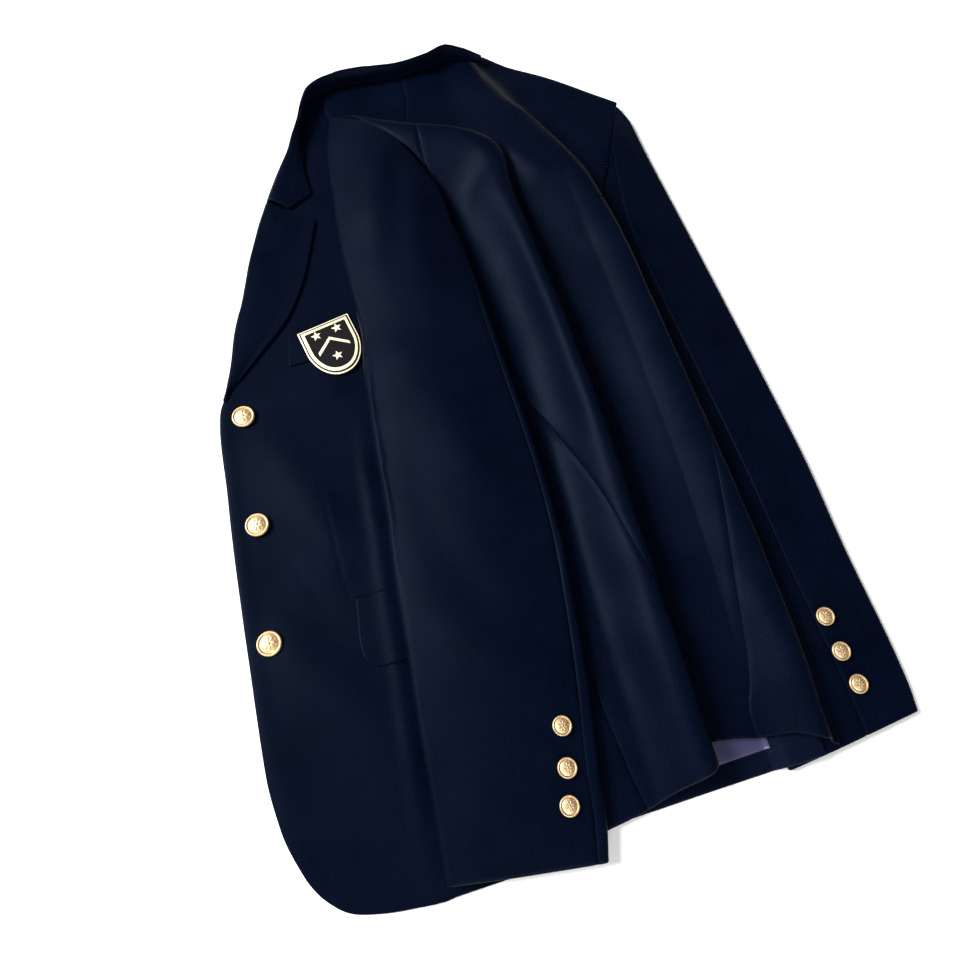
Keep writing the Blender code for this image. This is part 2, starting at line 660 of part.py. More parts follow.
def sleeve_panel(name, rows, ranges, count, finish):
    """One cut panel of a sleeve, between two seams of the section at each row."""
    outer, inner = [], []
    for row, (start, end) in zip(rows, ranges):
        places = sleeve_places(row, start, end, count)
        outer.append([sleeve_point(row, at, 0) for at in places])
        inner.append([sleeve_point(row, at, CLOTH) for at in places])
    return wall(name, np.array(outer), np.array(inner), finish)


def sleeve_places(row, start, end, count):
    """Places along a section, spaced by length and closer round the edges."""
    fine = np.linspace(start, end, 200)
    points = np.array([sleeve_point(row, at, 0) for at in fine])
    length = np.linalg.norm(np.diff(points, axis=0), axis=1)
    on_edge = np.floor(fine[1:]) % 2 == 1
    run = np.r_[0, np.cumsum(length * np.where(on_edge, 2.4, 1.0))]
    return np.interp(np.linspace(0, run[-1], count), run, fine)


def sleeves(navy):
    back = smooth_x(LEFT_BACK_SEAM_AT, np.arange(len(LEFT_SLEEVE)))
    top, under = [], []
    for k, row in enumerate(LEFT_SLEEVE):
        gap = SEAM_GAP / 2 / math.hypot(row[2] - row[0], row[3] - row[1])
        if k < LEFT_UNDER_ROWS:
            top.append((-1 - FRONT_SEAM_INSET + gap, back[k] - gap))
            under.append((back[k] + gap, 3 - FRONT_SEAM_INSET - gap))
        else:
            top.append(LEFT_HEAD_PARTS[k - LEFT_UNDER_ROWS])
    sleeve_panel("left_top_sleeve", LEFT_SLEEVE, top, 22, navy)
    sleeve_panel("left_under_sleeve", LEFT_SLEEVE[:LEFT_UNDER_ROWS], under, 14, navy)

    back = smooth_x(RIGHT_BACK_SEAM_AT, np.arange(len(RIGHT_SLEEVE)))
    top, under = [], []
    for k, row in enumerate(RIGHT_SLEEVE):
        gap = SEAM_GAP / 2 / math.hypot(row[2] - row[0], row[3] - row[1])
        top.append((back[k] + gap, 2 + FRONT_SEAM_INSET - gap))
        under.append((2 + FRONT_SEAM_INSET + gap, 4 + back[k] - gap))
    sleeve_panel("right_top_sleeve", RIGHT_SLEEVE, top, 15, navy)
    sleeve_panel("right_under_sleeve", RIGHT_SLEEVE, under, 22, navy)


def on_sleeve(rows, x, y):
    """The place and the facing of a sleeve's top at a point seen from above."""
    best = None
    table = np.column_stack([np.arange(len(rows)), np.array(rows, float)])
    for k in np.linspace(0, 5, 101):
        row = tuple(smooth(table, k))
        for at in np.linspace(0.02, 0.98, 97):
            point = sleeve_point(row, at, 0)
            miss = math.hypot(point[0] - x, point[1] - y)
            if best is None or miss < best[0]:
                deeper = sleeve_point(row, at, CLOTH)
                best = (miss, np.array(point), np.array(point) - np.array(deeper))
    return best[1], best[2] / np.linalg.norm(best[2])


def button(name, radius, place, facing, finish):
    """A domed metal button with a raised rim, turned from its profile."""
    mesh = bpy.data.meshes.new(name)
    points = [(radius * across * MM, 0, radius * up * MM) for across, up in BUTTON_PROFILE]
    mesh.from_pydata(points, [(k, k + 1) for k in range(len(points) - 1)], [])
    mesh.materials.append(finish)
    made = bpy.data.objects.new(name, mesh)
    turned = made.modifiers.new("turned", "SCREW")
    turned.axis = "Z"
    turned.angle = 2 * math.pi
    turned.steps = turned.render_steps = BUTTON_SIDES
    turned.use_merge_vertices = True
    turned.merge_threshold = 0.00001
    turned.use_normal_calculate = True
    turned.use_smooth_shade = True
    made.location = Vector(place) * MM
    made.rotation_euler = Vector(facing).to_track_quat("Z", "Y").to_euler()
    bpy.data.collections["blazer"].objects.link(made)
    return made


def buttons(gold):
    for number, (x, y) in enumerate(FRONT_BUTTONS, 1):
        button(f"front_button_{number}", FRONT_BUTTON, (x, y, CLOTH + LAYER_GAP), (0, 0, 1), gold)
    cuffs = [("left", LEFT_SLEEVE, LEFT_CUFF_BUTTONS), ("right", RIGHT_SLEEVE, RIGHT_CUFF_BUTTONS)]
    for side, rows, places in cuffs:
        for number, (x, y) in enumerate(places, 1):
            place, facing = on_sleeve(rows, x, y)
            middle = place + facing * CUFF_BUTTON_STANDS
            button(f"{side}_cuff_button_{number}", CUFF_BUTTON, middle, facing, gold)


def shield_outline(width, height):
    """A plain heater shield: straight shoulders and sides, and a curve down to its point."""
    half = width / 2
    top = height * 0.46
    bend = height * 0.02
    points = [(half * part, top) for part in (-1, -0.5, 0, 0.5)]
    side = [(half, top), (half, (top + bend) / 2)]
    for k in range(9):
        turn = math.pi / 2 * k / 9
        side.append((half * math.cos(turn) ** 0.9, bend - (height - top + bend) * math.sin(turn) ** 1.15))
    points += side
    points.append((0, bend - (height - top + bend)))
    points += [(-x, y) for x, y in reversed(side[1:])]
    return points


def shield_plate(name, scale, lowest, thickness, finish):
    """A flat plate of the shield's outline, with its top edge rounded."""
    outline = shield_outline(BADGE_WIDTH * scale, BADGE_HEIGHT * scale)
    made = add_object(name, [(x, y, 0) for x, y in outline], [tuple(range(len(outline)))[::-1]], finish)
    plate = made.modifiers.new("plate", "SOLIDIFY")
    plate.thickness = thickness * MM
    plate.offset = 1
    rounded = made.modifiers.new("rounded", "BEVEL")
    rounded.width = thickness * 0.25 * MM
    rounded.segments = 1
    rounded.limit_method = "ANGLE"
    made.location = Vector((*BADGE_AT, lowest)) * MM
    made.rotation_euler = (0, 0, math.radians(BADGE_TURN))
    return made


def badge(gold, black):
    """A plain gold shield on the chest welt, with a black enamelled face laid on it."""
    lowest = CLOTH + WELT_THICK + 2 * LAYER_GAP
    shield_plate("badge", 1.0, lowest, BADGE_PLATE, gold)
    shield_plate("badge_face", BADGE_RIM, lowest + BADGE_PLATE + LAYER_GAP, BADGE_FACE, black)


def stand_on_origin():
    """Moves everything so that the middle of its footprint is at the origin and its lowest point at zero."""
    bpy.context.view_layer.update()
    depsgraph = bpy.context.evaluated_depsgraph_get()
    corners = []
    for item in bpy.data.collections["blazer"].objects:
        box = item.evaluated_get(depsgraph).bound_box
        corners += [item.matrix_world @ Vector(corner) for corner in box]
    points = np.array([tuple(corner) for corner in corners])
    low, high = points.min(0), points.max(0)
    shift = Vector(((low[0] + high[0]) / -2, (low[1] + high[1]) / -2, -low[2]))
    for item in bpy.data.collections["blazer"].objects:
        item.location += shift


def build():
    clear_scene()
    collection = bpy.data.collections.new("blazer")
    bpy.context.scene.collection.children.link(collection)
    navy = material("navy cloth", NAVY, 0.85)
    inside = material("navy facing", NAVY_INSIDE, 0.8)
    satin = material("lining satin", SATIN, 0.35)
    gold = material("gold metal", GOLD, 0.35, 1.0)
    black = material("black enamel", BLACK, 0.4)
    fronts(navy, inside, satin)
    body(navy)
    sleeves(navy)
    lapel(navy)
    collar(navy)
    buttons(gold)
    badge(gold, black)
    stand_on_origin()


build()
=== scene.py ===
import math

import bmesh
import bpy
import numpy as np
from mathutils import Matrix, Vector


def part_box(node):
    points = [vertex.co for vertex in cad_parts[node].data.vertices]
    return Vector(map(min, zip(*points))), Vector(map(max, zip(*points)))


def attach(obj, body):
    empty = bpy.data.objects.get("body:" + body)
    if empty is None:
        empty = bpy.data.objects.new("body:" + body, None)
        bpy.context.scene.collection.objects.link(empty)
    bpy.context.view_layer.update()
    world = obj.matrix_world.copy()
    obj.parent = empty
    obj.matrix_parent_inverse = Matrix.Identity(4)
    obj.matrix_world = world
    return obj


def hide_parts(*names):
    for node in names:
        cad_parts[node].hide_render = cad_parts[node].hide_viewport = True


# A woman's blazer laid down back up, with its left front opened out flat beside it.
# Garment sizes are in millimetres: x across, y from hem to collar, z up from the floor.

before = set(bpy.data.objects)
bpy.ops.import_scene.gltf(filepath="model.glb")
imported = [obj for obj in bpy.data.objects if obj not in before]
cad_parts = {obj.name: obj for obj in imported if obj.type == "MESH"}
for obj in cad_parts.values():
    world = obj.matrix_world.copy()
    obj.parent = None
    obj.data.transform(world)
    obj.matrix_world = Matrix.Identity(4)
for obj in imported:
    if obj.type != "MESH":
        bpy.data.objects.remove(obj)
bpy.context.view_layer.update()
mm = 0.001
norm = np.linalg.norm

garment = {
    "firstButtonAt": (-121.9, 311.9),  # where the tables below have the top front button
    "hem": -85.0,
    "neck": 657.0,
    "armhole": 440.0,
    "shoulderStart": 205.0,
    "shoulderSlope": 0.93,
    "cloth": 1.8,
    "rimRound": 0.42,  # how far a turned edge bulges, as a part of the cloth
    "seamGap": 0.3,
    "grid": 2.6,  # size of the cloth's mesh squares
}

buttonLow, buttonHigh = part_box("front_button_1")
garmentShift = np.array([
    (buttonLow.x + buttonHigh.x) / 2 / mm - garment["firstButtonAt"][0],
    (buttonLow.y + buttonHigh.y) / 2 / mm - garment["firstButtonAt"][1],
    0.0,
])
print("frame loaded, garment shifted by", garmentShift.round(2))


# Reading the tables smoothly

def smoothRead(knots, values, slopes, at):
    # a smooth curve through a row of values at each knot, with the given slopes
    k = np.clip(np.searchsorted(knots, at, side="right") - 1, 0, len(knots) - 2)
    step = (knots[k + 1] - knots[k])[..., None]
    t = (at - knots[k])[..., None] / step
    rest = 1 - t
    return (
        values[k] * (1 + 2 * t) * rest**2
        + values[k + 1] * (3 - 2 * t) * t**2
        + (slopes[k] * rest - slopes[k + 1] * t) * step * t * rest
    )


def readTable(rows, at):
    # never overshoots the table's values
    table = np.array(rows, float)
    knots = table[:, 0]
    at = np.clip(np.asarray(at, float), knots[0], knots[-1])
    slope = np.diff(table[:, 1:], axis=0) / np.diff(knots)[:, None]
    bend = np.vstack([slope[:1], np.zeros_like(slope[1:]), slope[-1:]])
    before, after = slope[:-1], slope[1:]
    sameWay = before * after > 0
    total = np.where(sameWay, before + after, 1.0)
    bend[1:-1] = np.where(sameWay, 2 * before * after / total, 0.0)
    return smoothRead(knots, table[:, 1:], bend, at)


def readColumn(rows, at):
    return readTable(rows, at)[..., 0]


def runAlong(points):
    # how far each point lies along the line through them
    return np.r_[0, np.cumsum(norm(np.diff(points, axis=0), axis=1))]


def pathThrough(rows, count):
    table = np.array(rows, float)
    run = runAlong(table[:, :2])
    return readTable(np.column_stack([run, table]), np.linspace(0, run[-1], count))


def curveThrough(points, count):
    # evenly spaced points of a round curve through a few points in space
    table = np.array(points, float)
    run = runAlong(table)
    fine = smoothRead(run, table, np.gradient(table, run, axis=0), np.linspace(0, run[-1], 240))
    length = runAlong(fine)
    wanted = np.linspace(0, length[-1], count)
    return np.column_stack([np.interp(wanted, length, fine[:, k]) for k in range(3)])


def nearestOnPath(path, x, y):
    # for each point: the path's nearest row, its distance to the left, and its heading there
    ahead = np.gradient(path[:, :2], axis=0)
    ahead /= norm(ahead, axis=1)[:, None]
    flat = np.column_stack([np.ravel(x), np.ravel(y)])
    nearest = np.empty(len(flat), int)
    for start in range(0, len(flat), 4000):
        away = flat[start:start + 4000, None, :] - path[None, :, :2]
        nearest[start:start + 4000] = np.argmin((away**2).sum(2), axis=1)
    gap = flat - path[nearest, :2]
    heading = ahead[nearest]
    side = heading[:, 0] * gap[:, 1] - heading[:, 1] * gap[:, 0]
    beyond = heading[:, 0] * gap[:, 0] + heading[:, 1] * gap[:, 1]
    return nearest, side, beyond, heading


# Creases: each is a line of (x, y, height, half width), a trough where the height is below 0

def creaseLift(creases, x, y):
    lift = np.zeros(np.shape(x))
    for rows in creases:
        path = pathThrough(rows, 80)
        nearest, side, beyond, _ = nearestOnPath(path, x, y)
        height, width = path[nearest, 2], path[nearest, 3]
        far = (side / width) ** 2 + (beyond / width) ** 2
        lift += (height * np.exp(-far)).reshape(np.shape(x))
    return lift


unevenness = {"seed": 7, "waves": 10, "height": 0.16, "shortest": 28.0, "longest": 110.0}


def clothUnevenness(x, y, much=1.0):
    chance = np.random.default_rng(unevenness["seed"])
    lift = np.zeros(np.shape(x))
    for _ in range(unevenness["waves"]):
        angle = chance.uniform(0, math.pi)
        wavelength = chance.uniform(unevenness["shortest"], unevenness["longest"])
        phase = chance.uniform(0, 2 * math.pi)
        along = (x * math.cos(angle) + y * math.sin(angle)) * 2 * math.pi / wavelength
        lift += np.sin(along + phase)
    return lift * unevenness["height"] * much


# Making shells of cloth


def gridNormals(points):
    normal = np.cross(np.gradient(points, axis=1), np.gradient(points, axis=0))
    return normal / np.maximum(norm(normal, axis=-1), 1e-9)[..., None]


def distanceAlong(points, axis):
    step = norm(np.diff(points, axis=axis), axis=-1)
    run = np.cumsum(step, axis=axis)
    return np.concatenate([np.zeros_like(np.take(run, [0], axis=axis)), run], axis=axis)


def sinkEdges(points, sides, depth, reach):
    # sews the named sides down, as a seam pulls the cloth in a little
    normal = gridNormals(points)
    across = distanceAlong(points, 1)
    along = distanceAlong(points, 0)
    far = {"left": across, "right": across[:, -1:] - across, "top": along[-1:] - along}
    sunk = np.zeros(points.shape[:2])
    for side in sides:
        sunk = np.maximum(sunk, depth * np.exp(-((far[side] / reach) ** 2)))
    return points - normal * sunk[..., None]


def nodeOf(name):
    # leftSide stands for left_side in the frame
    return "".join("_" + letter.lower() if letter.isupper() else letter for letter in name)


def clothShell(piece, outer, finish, thickness=None):
    # a closed shell below the outer grid, its rim rounded as a turned edge is; the area of its flat cut is
    # worked out and not used
    thickness = thickness or garment["cloth"]
    rows, columns = outer.shape[:2]
    inner = outer - gridNormals(outer) * thickness
    count = rows * columns
    index = np.arange(count).reshape(rows, columns)
    k = np.r_[index[0], index[1:, -1], index[-1, -2::-1], index[-2:0:-1, 0]]  # once round the rim
    rim = np.divmod(k, columns)
    outward = np.zeros_like(outer)
    outward[:, 0] += outer[:, 0] - outer[:, 1]
    outward[:, -1] += outer[:, -1] - outer[:, -2]
    outward[0] += outer[0] - outer[1]
    outward[-1] += outer[-1] - outer[-2]
    direction = outward[rim]
    direction /= np.maximum(norm(direction, axis=1), 1e-9)[:, None]
    middle = (outer[rim] + inner[rim]) / 2 + direction * thickness * garment["rimRound"]
    a = index[:-1, :-1].ravel()
    top = np.column_stack([a, a + 1, a + columns + 1, a + columns])
    bottom = top[:, ::-1] + count
    after = np.roll(k, -1)
    edge = np.arange(len(k)) + 2 * count
    edgeAfter = np.roll(edge, -1)
    upper = np.column_stack([after, k, edge, edgeAfter])
    lower = np.column_stack([edgeAfter, edge, k + count, after + count])
    points = np.vstack([outer.reshape(-1, 3), inner.reshape(-1, 3), middle])
    points[:, 2] = np.maximum(points[:, 2], 0)  # flat where it rests on the floor
    faces = np.vstack([top, bottom, upper, lower])
    corners = points[faces]
    facing = np.cross(corners[:, 2] - corners[:, 0], corners[:, 3] - corners[:, 1]) / 2
    if (corners.mean(1) * facing).sum() < 0:
        faces = faces[:, ::-1]
    mesh = bpy.data.meshes.new(piece["name"])
    mesh.from_pydata(((points + garmentShift) * mm).tolist(), [], faces.tolist())
    mesh.materials.append(finish)
    mesh.shade_smooth()
    made = putInScene(piece["name"], mesh)
    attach(made, "root")
    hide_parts(nodeOf(piece["name"]))
    width, length = piece["cut"]  # in metres
    area = round(min(gridArea(outer), width * length), 4)


def putInScene(name, data):
    made = bpy.data.objects.new(name, data)
    bpy.context.scene.collection.objects.link(made)
    return made


def gridArea(points):
    across = points[1:, 1:] - points[:-1, :-1]
    along = points[1:, :-1] - points[:-1, 1:]
    return float(norm(np.cross(across, along), axis=-1).sum() / 2) * mm * mm


def steps(start, end, size):
    return np.linspace(start, end, max(2, int(round(abs(end - start) / size)) + 1))


# Finishes

def newMaterial(name):
    finish = bpy.data.materials.new(name)
    finish.use_nodes = True
    tree = finish.node_tree
    return finish, tree, tree.nodes["Principled BSDF"]


def giveInputs(tree, node, inputs):
    # each input gets a value or another node's output
    for key, value in inputs.items():
        if isinstance(value, bpy.types.NodeSocket):
            tree.links.new(value, node.inputs[key])
        else:
            node.inputs[key].default_value = value


def addNode(tree, kind, inputs, output=0, **settings):
    made = tree.nodes.new("ShaderNode" + kind)
    for key, value in settings.items():
        setattr(made, key, value)
    giveInputs(tree, made, inputs)
    return made.outputs[output]


def ownPlace(tree):
    return addNode(tree, "TexCoord", {}, "Object")


def addNoise(tree, place, scale, detail, roughness=0.5):
    inputs = {"Vector": place, "Scale": scale, "Detail": detail, "Roughness": roughness}
    return addNode(tree, "TexNoise", inputs, "Fac")


def addRamp(tree, value, low, high, start=0.0, end=1.0):
    made = tree.nodes.new("ShaderNodeValToRGB")
    first, last = made.color_ramp.elements
    first.position, first.color = start, (*low, 1)
    last.position, last.color = end, (*high, 1)
    giveInputs(tree, made, {"Fac": value})
    return made.outputs["Color"]


def addBump(tree, height, strength, distance, below=None):
    inputs = {"Height": height, "Strength": strength, "Distance": distance}
    if below is not None:
        inputs["Normal"] = below
    return addNode(tree, "Bump", inputs)


woolFlannel = {
    "twillPerMetre": 1050.0,
    "twillTurn": 58.0,
    "napPerMetre": 420.0,
    "fibresPerMetre": 2100.0,
    "sheen": 0.003,
    "sheenTint": (0.5, 0.65, 1, 1),
    "glossTint": (0.55, 0.7, 1, 1),
}


def makeWool(name, colour, lighter):
    finish, tree, shader = newMaterial(name)
    place = ownPlace(tree)
    cloudy = addNoise(tree, place, 22.0, 3.0)
    nap = addNoise(tree, place, woolFlannel["napPerMetre"], 4.0, 0.7)
    fibres = addNoise(tree, place, woolFlannel["fibresPerMetre"], 2.0)
    turn = (0, 0, math.radians(woolFlannel["twillTurn"]))
    turned = addNode(tree, "Mapping", {"Vector": place, "Rotation": turn})
    scale = woolFlannel["twillPerMetre"] / 6.283
    twill = addNode(tree, "TexWave", {"Vector": turned, "Scale": scale, "Distortion": 1.2}, "Fac")
    quiet = addNode(tree, "Math", {0: cloudy, 1: 0.45}, operation="MULTIPLY")
    mixed = addNode(tree, "Math", {0: nap, 1: 0.55, 2: quiet}, operation="MULTIPLY_ADD")
    weave = addBump(tree, twill, 0.22, 0.00022)
    weaveAndNap = addBump(tree, nap, 0.3, 0.0005, weave)
    giveInputs(tree, shader, {
        "Base Color": addRamp(tree, mixed, colour, lighter, 0.36, 0.66),
        "Normal": addBump(tree, fibres, 0.25, 0.00015, weaveAndNap),
        "Roughness": 0.44,
        "Specular IOR Level": 0.03,
        "Specular Tint": woolFlannel["glossTint"],
        "Sheen Weight": woolFlannel["sheen"],
        "Sheen Roughness": 0.42,
        "Sheen Tint": woolFlannel["sheenTint"],
    })
    finish.diffuse_color = (*colour, 1)
    return finish


def makeSatin():
    finish, tree, shader = newMaterial("liningSatin")
    place = ownPlace(tree)
    stretched = addNode(tree, "Mapping", {"Vector": place, "Scale": (1.0, 0.12, 1.0)})
    cloudy = addNoise(tree, place, 60.0, 2.0)
    giveInputs(tree, shader, {
        "Base Color": addRamp(tree, cloudy, (0.020, 0.020, 0.058), (0.046, 0.044, 0.105)),
        "Normal": addBump(tree, addNoise(tree, stretched, 2600.0, 2.0), 0.25, 0.0002),
        "Roughness": 0.34,
        "Sheen Weight": 0.2,
        "Sheen Roughness": 0.3,
    })
    return finish


def makeGilt(name, bright, worn, roughness):
    finish, tree, shader = newMaterial(name)
    tarnish = addNoise(tree, ownPlace(tree), 340.0, 5.0, 0.65)
    rough = addNode(tree, "MapRange", {"Value": tarnish, "To Min": roughness + 0.14, "To Max": roughness})
    giveInputs(tree, shader, {
        "Base Color": addRamp(tree, tarnish, worn, bright, 0.35, 0.62),
        "Normal": addBump(tree, tarnish, 0.08, 0.0002),
        "Roughness": rough,
        "Metallic": 1.0,
    })
    return finish


def makeEnamel():
    finish, tree, shader = newMaterial("blackEnamel")
    grain = addNoise(tree, ownPlace(tree), 900.0, 3.0)
    giveInputs(tree, shader, {
        "Base Color": addRamp(tree, grain, (0.002, 0.002, 0.003), (0.009, 0.008, 0.010)),
        "Normal": addBump(tree, grain, 0.12, 0.0002),
        "Roughness": 0.30,
        "Specular IOR Level": 0.25,
    })
    return finish


navyWool = makeWool("navyWool", (0.0004, 0.0014, 0.0056), (0.0011, 0.0028, 0.0090))
facingWool = makeWool("facingWool", (0.0012, 0.0027, 0.0090), (0.0026, 0.0050, 0.0140))
liningSatin = makeSatin()
giltMetal = makeGilt("giltMetal", (0.74, 0.57, 0.37), (0.56, 0.40, 0.21), 0.50)
# a darker copy of the gilt for the button's groove faces: painted shade in the recess, over the same random
# tarnish
giltPaintedShade = makeGilt("giltPaintedShade", (0.55, 0.38, 0.18), (0.30, 0.19, 0.08), 0.52)
paleGilt = makeGilt("paleGilt", (0.92, 0.87, 0.66), (0.76, 0.69, 0.46), 0.52)
blackEnamel = makeEnamel()
print("finishes made")


# The body: one flat cut, folded over its big folds

bodyCut = {
    # height of the lying cloth: (x, height)
    "base": [(-40, 2), (12, 2), (36, 4.9), (60, 5.5), (100, 8), (122, 9), (200, 10), (262, 13.4), (330, 10)],
    "overFront": 5.2,
    "neckSink": 0.35,
    "neckSinkOver": (560, 80),  # from this y, over this length
    "foldEase": 24.0,
    "sideTop": 425,
    "seamSink": (0.55, 2.6),  # depth and reach
    "evenTimes": 24,
    "bendShare": 6.0,  # how much closer the mesh lies in a bend
    # (x, y, lift, width of the soft side, round of the steep side), from the hem up
    "backFold": [
        (149, -90, 18, 44, 6), (152, -30, 22, 44, 6), (155, 35, 25, 44, 6.5), (160, 100, 26, 44, 6.5),
        (166, 200, 26, 44, 6.5), (168, 320, 26, 45, 7), (167, 410, 27, 47, 7), (166, 462, 28, 50, 8),
        (168, 492, 29, 54, 10), (163, 513, 29, 58, 12), (151, 528, 29, 62, 12), (137, 538, 29, 66, 11),
        (99, 558, 28, 62, 11), (69, 577, 26, 50, 11), (45, 597, 20, 36, 10), (25, 612, 9, 22, 8),
        (6, 624, 2, 16, 8),
    ],
    "sideFold": [
        (236, -90, 9, 40, 6), (241, -40, 11, 46, 6), (248, 40, 14, 52, 6), (250, 140, 16, 55, 6.5),
        (250, 250, 18, 56, 7), (250, 340, 20, 58, 7), (248, 400, 21, 58, 8), (239, 460, 21, 58, 12),
        (223, 512, 19, 56, 17), (206, 552, 17, 52, 21), (192, 592, 13, 46, 23), (184, 630, 8, 38, 24),
        (180, 660, 3, 30, 22),
    ],
    # how far the hem lies above or below its straight line: (x, rise)
    "hemRise": [
        (12, -11), (60, -4), (100, 1), (126, 8), (152, 14), (172, 30), (186, 28), (202, 22), (218, 20),
        (240, 10), (256, 1),
    ],
    "hemRiseReach": 80.0,
    # how far the neck edge reaches up to the collar: (x, rise)
    "neckRise": [
        (25, 6), (40, 8), (54, 9), (82, 6), (112, 4), (141, 5.2), (160, 9), (172, 8), (184, 6), (200, 3),
        (225, 0),
    ],
    "neckRiseReach": 60.0,
    # seams in the flat cut: (station up the body, x)
    "leftEdge": [(-90, 12.4), (450, 12.4)],
    "leftSeam": [
        (-90, 101), (-50, 97), (-3, 94), (80, 92), (160, 92), (232, 92), (300, 84), (380, 72), (450, 60),
    ],
    "centreSeam": [
        (-90, 181), (-30, 176), (20, 170), (60, 163), (93, 157), (116, 153), (148, 148), (232, 128),
        (255, 121), (330, 107), (420, 100), (520, 102), (600, 108), (657, 112),
    ],
    "rightSeam": [
        (-90, 198), (-61, 200), (-24, 208), (14, 216), (54, 225), (102, 237), (156, 249), (202, 256),
        (300, 262), (425, 266),
    ],
    "rightEdge": [(-90, 254), (-20, 264), (60, 272), (200, 276), (430, 276)],
    "leftArmhole": [
        (440, 61), (452, 104), (470, 107), (493, 107), (510, 106), (522, 103), (538, 92), (556, 79),
        (575, 65.5), (599, 48.5), (609, 40), (617, 31), (630, 25), (657, 27),
    ],
    "rightArmhole": [(400, 260.1), (438, 260.1), (450.6, 265.4), (494, 288.2), (551.8, 317.9), (580, 331)],
    "softHollows": [(112, 503, 46, 90)],  # (x, y, radius, times smoothed)
    # (x, y, height, half width)
    "creases": [
        [(182, 520, 0, 9), (193, 503, 2.6, 10), (203, 484, 2.2, 11), (212, 464, 0, 12)],
        [(216, 600, 0, 14), (236, 562, -2.6, 15), (252, 520, -2.6, 14), (264, 478, 0, 12)],
        [(122, 300, 0, 12), (124, 240, -1.4, 13), (120, 160, -1.6, 13),
         (116, 90, -1.2, 12), (110, 30, 0, 10)],
        [(218, 330, 0, 12), (222, 250, 1.1, 13), (220, 170, 0.9, 13), (216, 110, 0, 12)],
        [(226, 60, 0, 12), (238, 20, 2, 13), (243, -30, 2.4, 13), (242, -80, 1.8, 12)],
        [(163, 180, 0, 8), (165, 240, 1.5, 8), (166, 320, 1.8, 8), (165, 410, 1.5, 8), (158, 490, 0, 9)],
        [(144, 150, 0, 13), (145, 230, -3, 14), (146, 320, -3.6, 14), (144, 410, -3, 14), (138, 470, 0, 14)],
        [(150, 80, 0, 14), (152, 30, 1.6, 15), (150, -20, 2, 15), (144, -70, 1.6, 14)],
        [(132, 60, 0, 10), (138, 10, 0.8, 12), (142, -50, 0, 10)],
        [(112, 630, 0, 16), (136, 606, -1, 16), (160, 590, 0, 14)],
    ],
}


def steepSide(far, lift, turnRadius):
    # how far out and down the cloth has gone, a length of cloth beyond a fold's crest
    turn = np.arccos(np.clip(1 - lift / (2 * turnRadius), 0, 1))
    arc = turnRadius * turn
    straight = np.maximum(lift - 2 * turnRadius, 0)
    whole = 2 * arc + straight
    reach = 2 * turnRadius * np.sin(turn)
    first = np.clip(far, 0, arc) / turnRadius
    last = np.clip(whole - far, 0, arc) / turnRadius
    onFirst = far < arc + straight
    out = np.where(onFirst, turnRadius * np.sin(first), reach - turnRadius * np.sin(last))
    firstDrop = turnRadius * (1 - np.cos(first)) + np.clip(far - arc, 0, straight)
    lastDrop = lift - turnRadius * (1 - np.cos(last))
    ease = bodyCut["foldEase"]
    eased = reach + np.clip(far - whole, 0, ease) * (whole + ease - reach) / ease
    eased = eased + np.maximum(far - whole - ease, 0)
    beyond = far > whole
    return np.where(beyond, eased, out), np.where(beyond, lift, np.where(onFirst, firstDrop, lastDrop))


def foldOver(rows, x, y):
    path = pathThrough(rows, 420)
    nearest, side, _, heading = nearestOnPath(path, x, y)
    far = np.abs(side)
    lift, width, turnRadius = path[nearest, 2:].T
    soft = lift * 0.5 * (1 + np.cos(math.pi * np.clip(far / width, 0, 1)))
    out, drop = steepSide(far, lift, turnRadius)
    outward = np.column_stack([heading[:, 1], -heading[:, 0]])
    shift = np.where((side < 0)[:, None], outward * (out - far)[:, None], 0)
    raised = np.where(side < 0, lift - drop, soft)
    shape = np.shape(x)
    return [part.reshape(shape) for part in (shift[:, 0], shift[:, 1], raised)]


def baseHeight(x, y):
    sinkFrom, sinkReach = bodyCut["neckSinkOver"]
    sink = bodyCut["neckSink"] * np.clip((y - sinkFrom) / sinkReach, 0, 1)
    beside = np.clip((y - garment["armhole"]) / 40, 0, 1)  # above the armhole the front lies below
    return np.maximum(readColumn(bodyCut["base"], x) * (1 - sink), bodyCut["overFront"] * beside)


def bodySurface(x, station):
    x = np.asarray(x, float)
    station = np.asarray(station, float)
    fade = np.clip(1 - (station - garment["hem"]) / bodyCut["hemRiseReach"], 0, 1)
    rise = readColumn(bodyCut["hemRise"], x) * fade
    near = np.clip(1 - (garment["neck"] - station) / bodyCut["neckRiseReach"], 0, 1)
    rise = rise + readColumn(bodyCut["neckRise"], x) * near
    slope = np.clip((station - garment["armhole"]) / (garment["neck"] - garment["armhole"]), 0, 1)
    y = station + rise - garment["shoulderSlope"] * np.maximum(x - garment["shoulderStart"], 0) * slope
    backX, backY, backLift = foldOver(bodyCut["backFold"], x, y)
    sideX, sideY, sideLift = foldOver(bodyCut["sideFold"], x, y)
    atX = x + backX + sideX
    atY = y + backY + sideY
    return np.stack([atX, atY, baseHeight(atX, atY) + backLift + sideLift], axis=-1)


def rightTrim(station):
    # where the flat cut ends so that its folded edge follows the right armhole
    fine = np.linspace(245, 345, 101)
    points = bodySurface(fine, np.full_like(fine, station))
    over = points[:, 0] - readColumn(bodyCut["rightArmhole"], points[:, 1])
    first = int(np.argmax(over > 0))
    part = over[first] / (over[first] - over[first - 1])
    return fine[first] - part * (fine[first] - fine[first - 1])


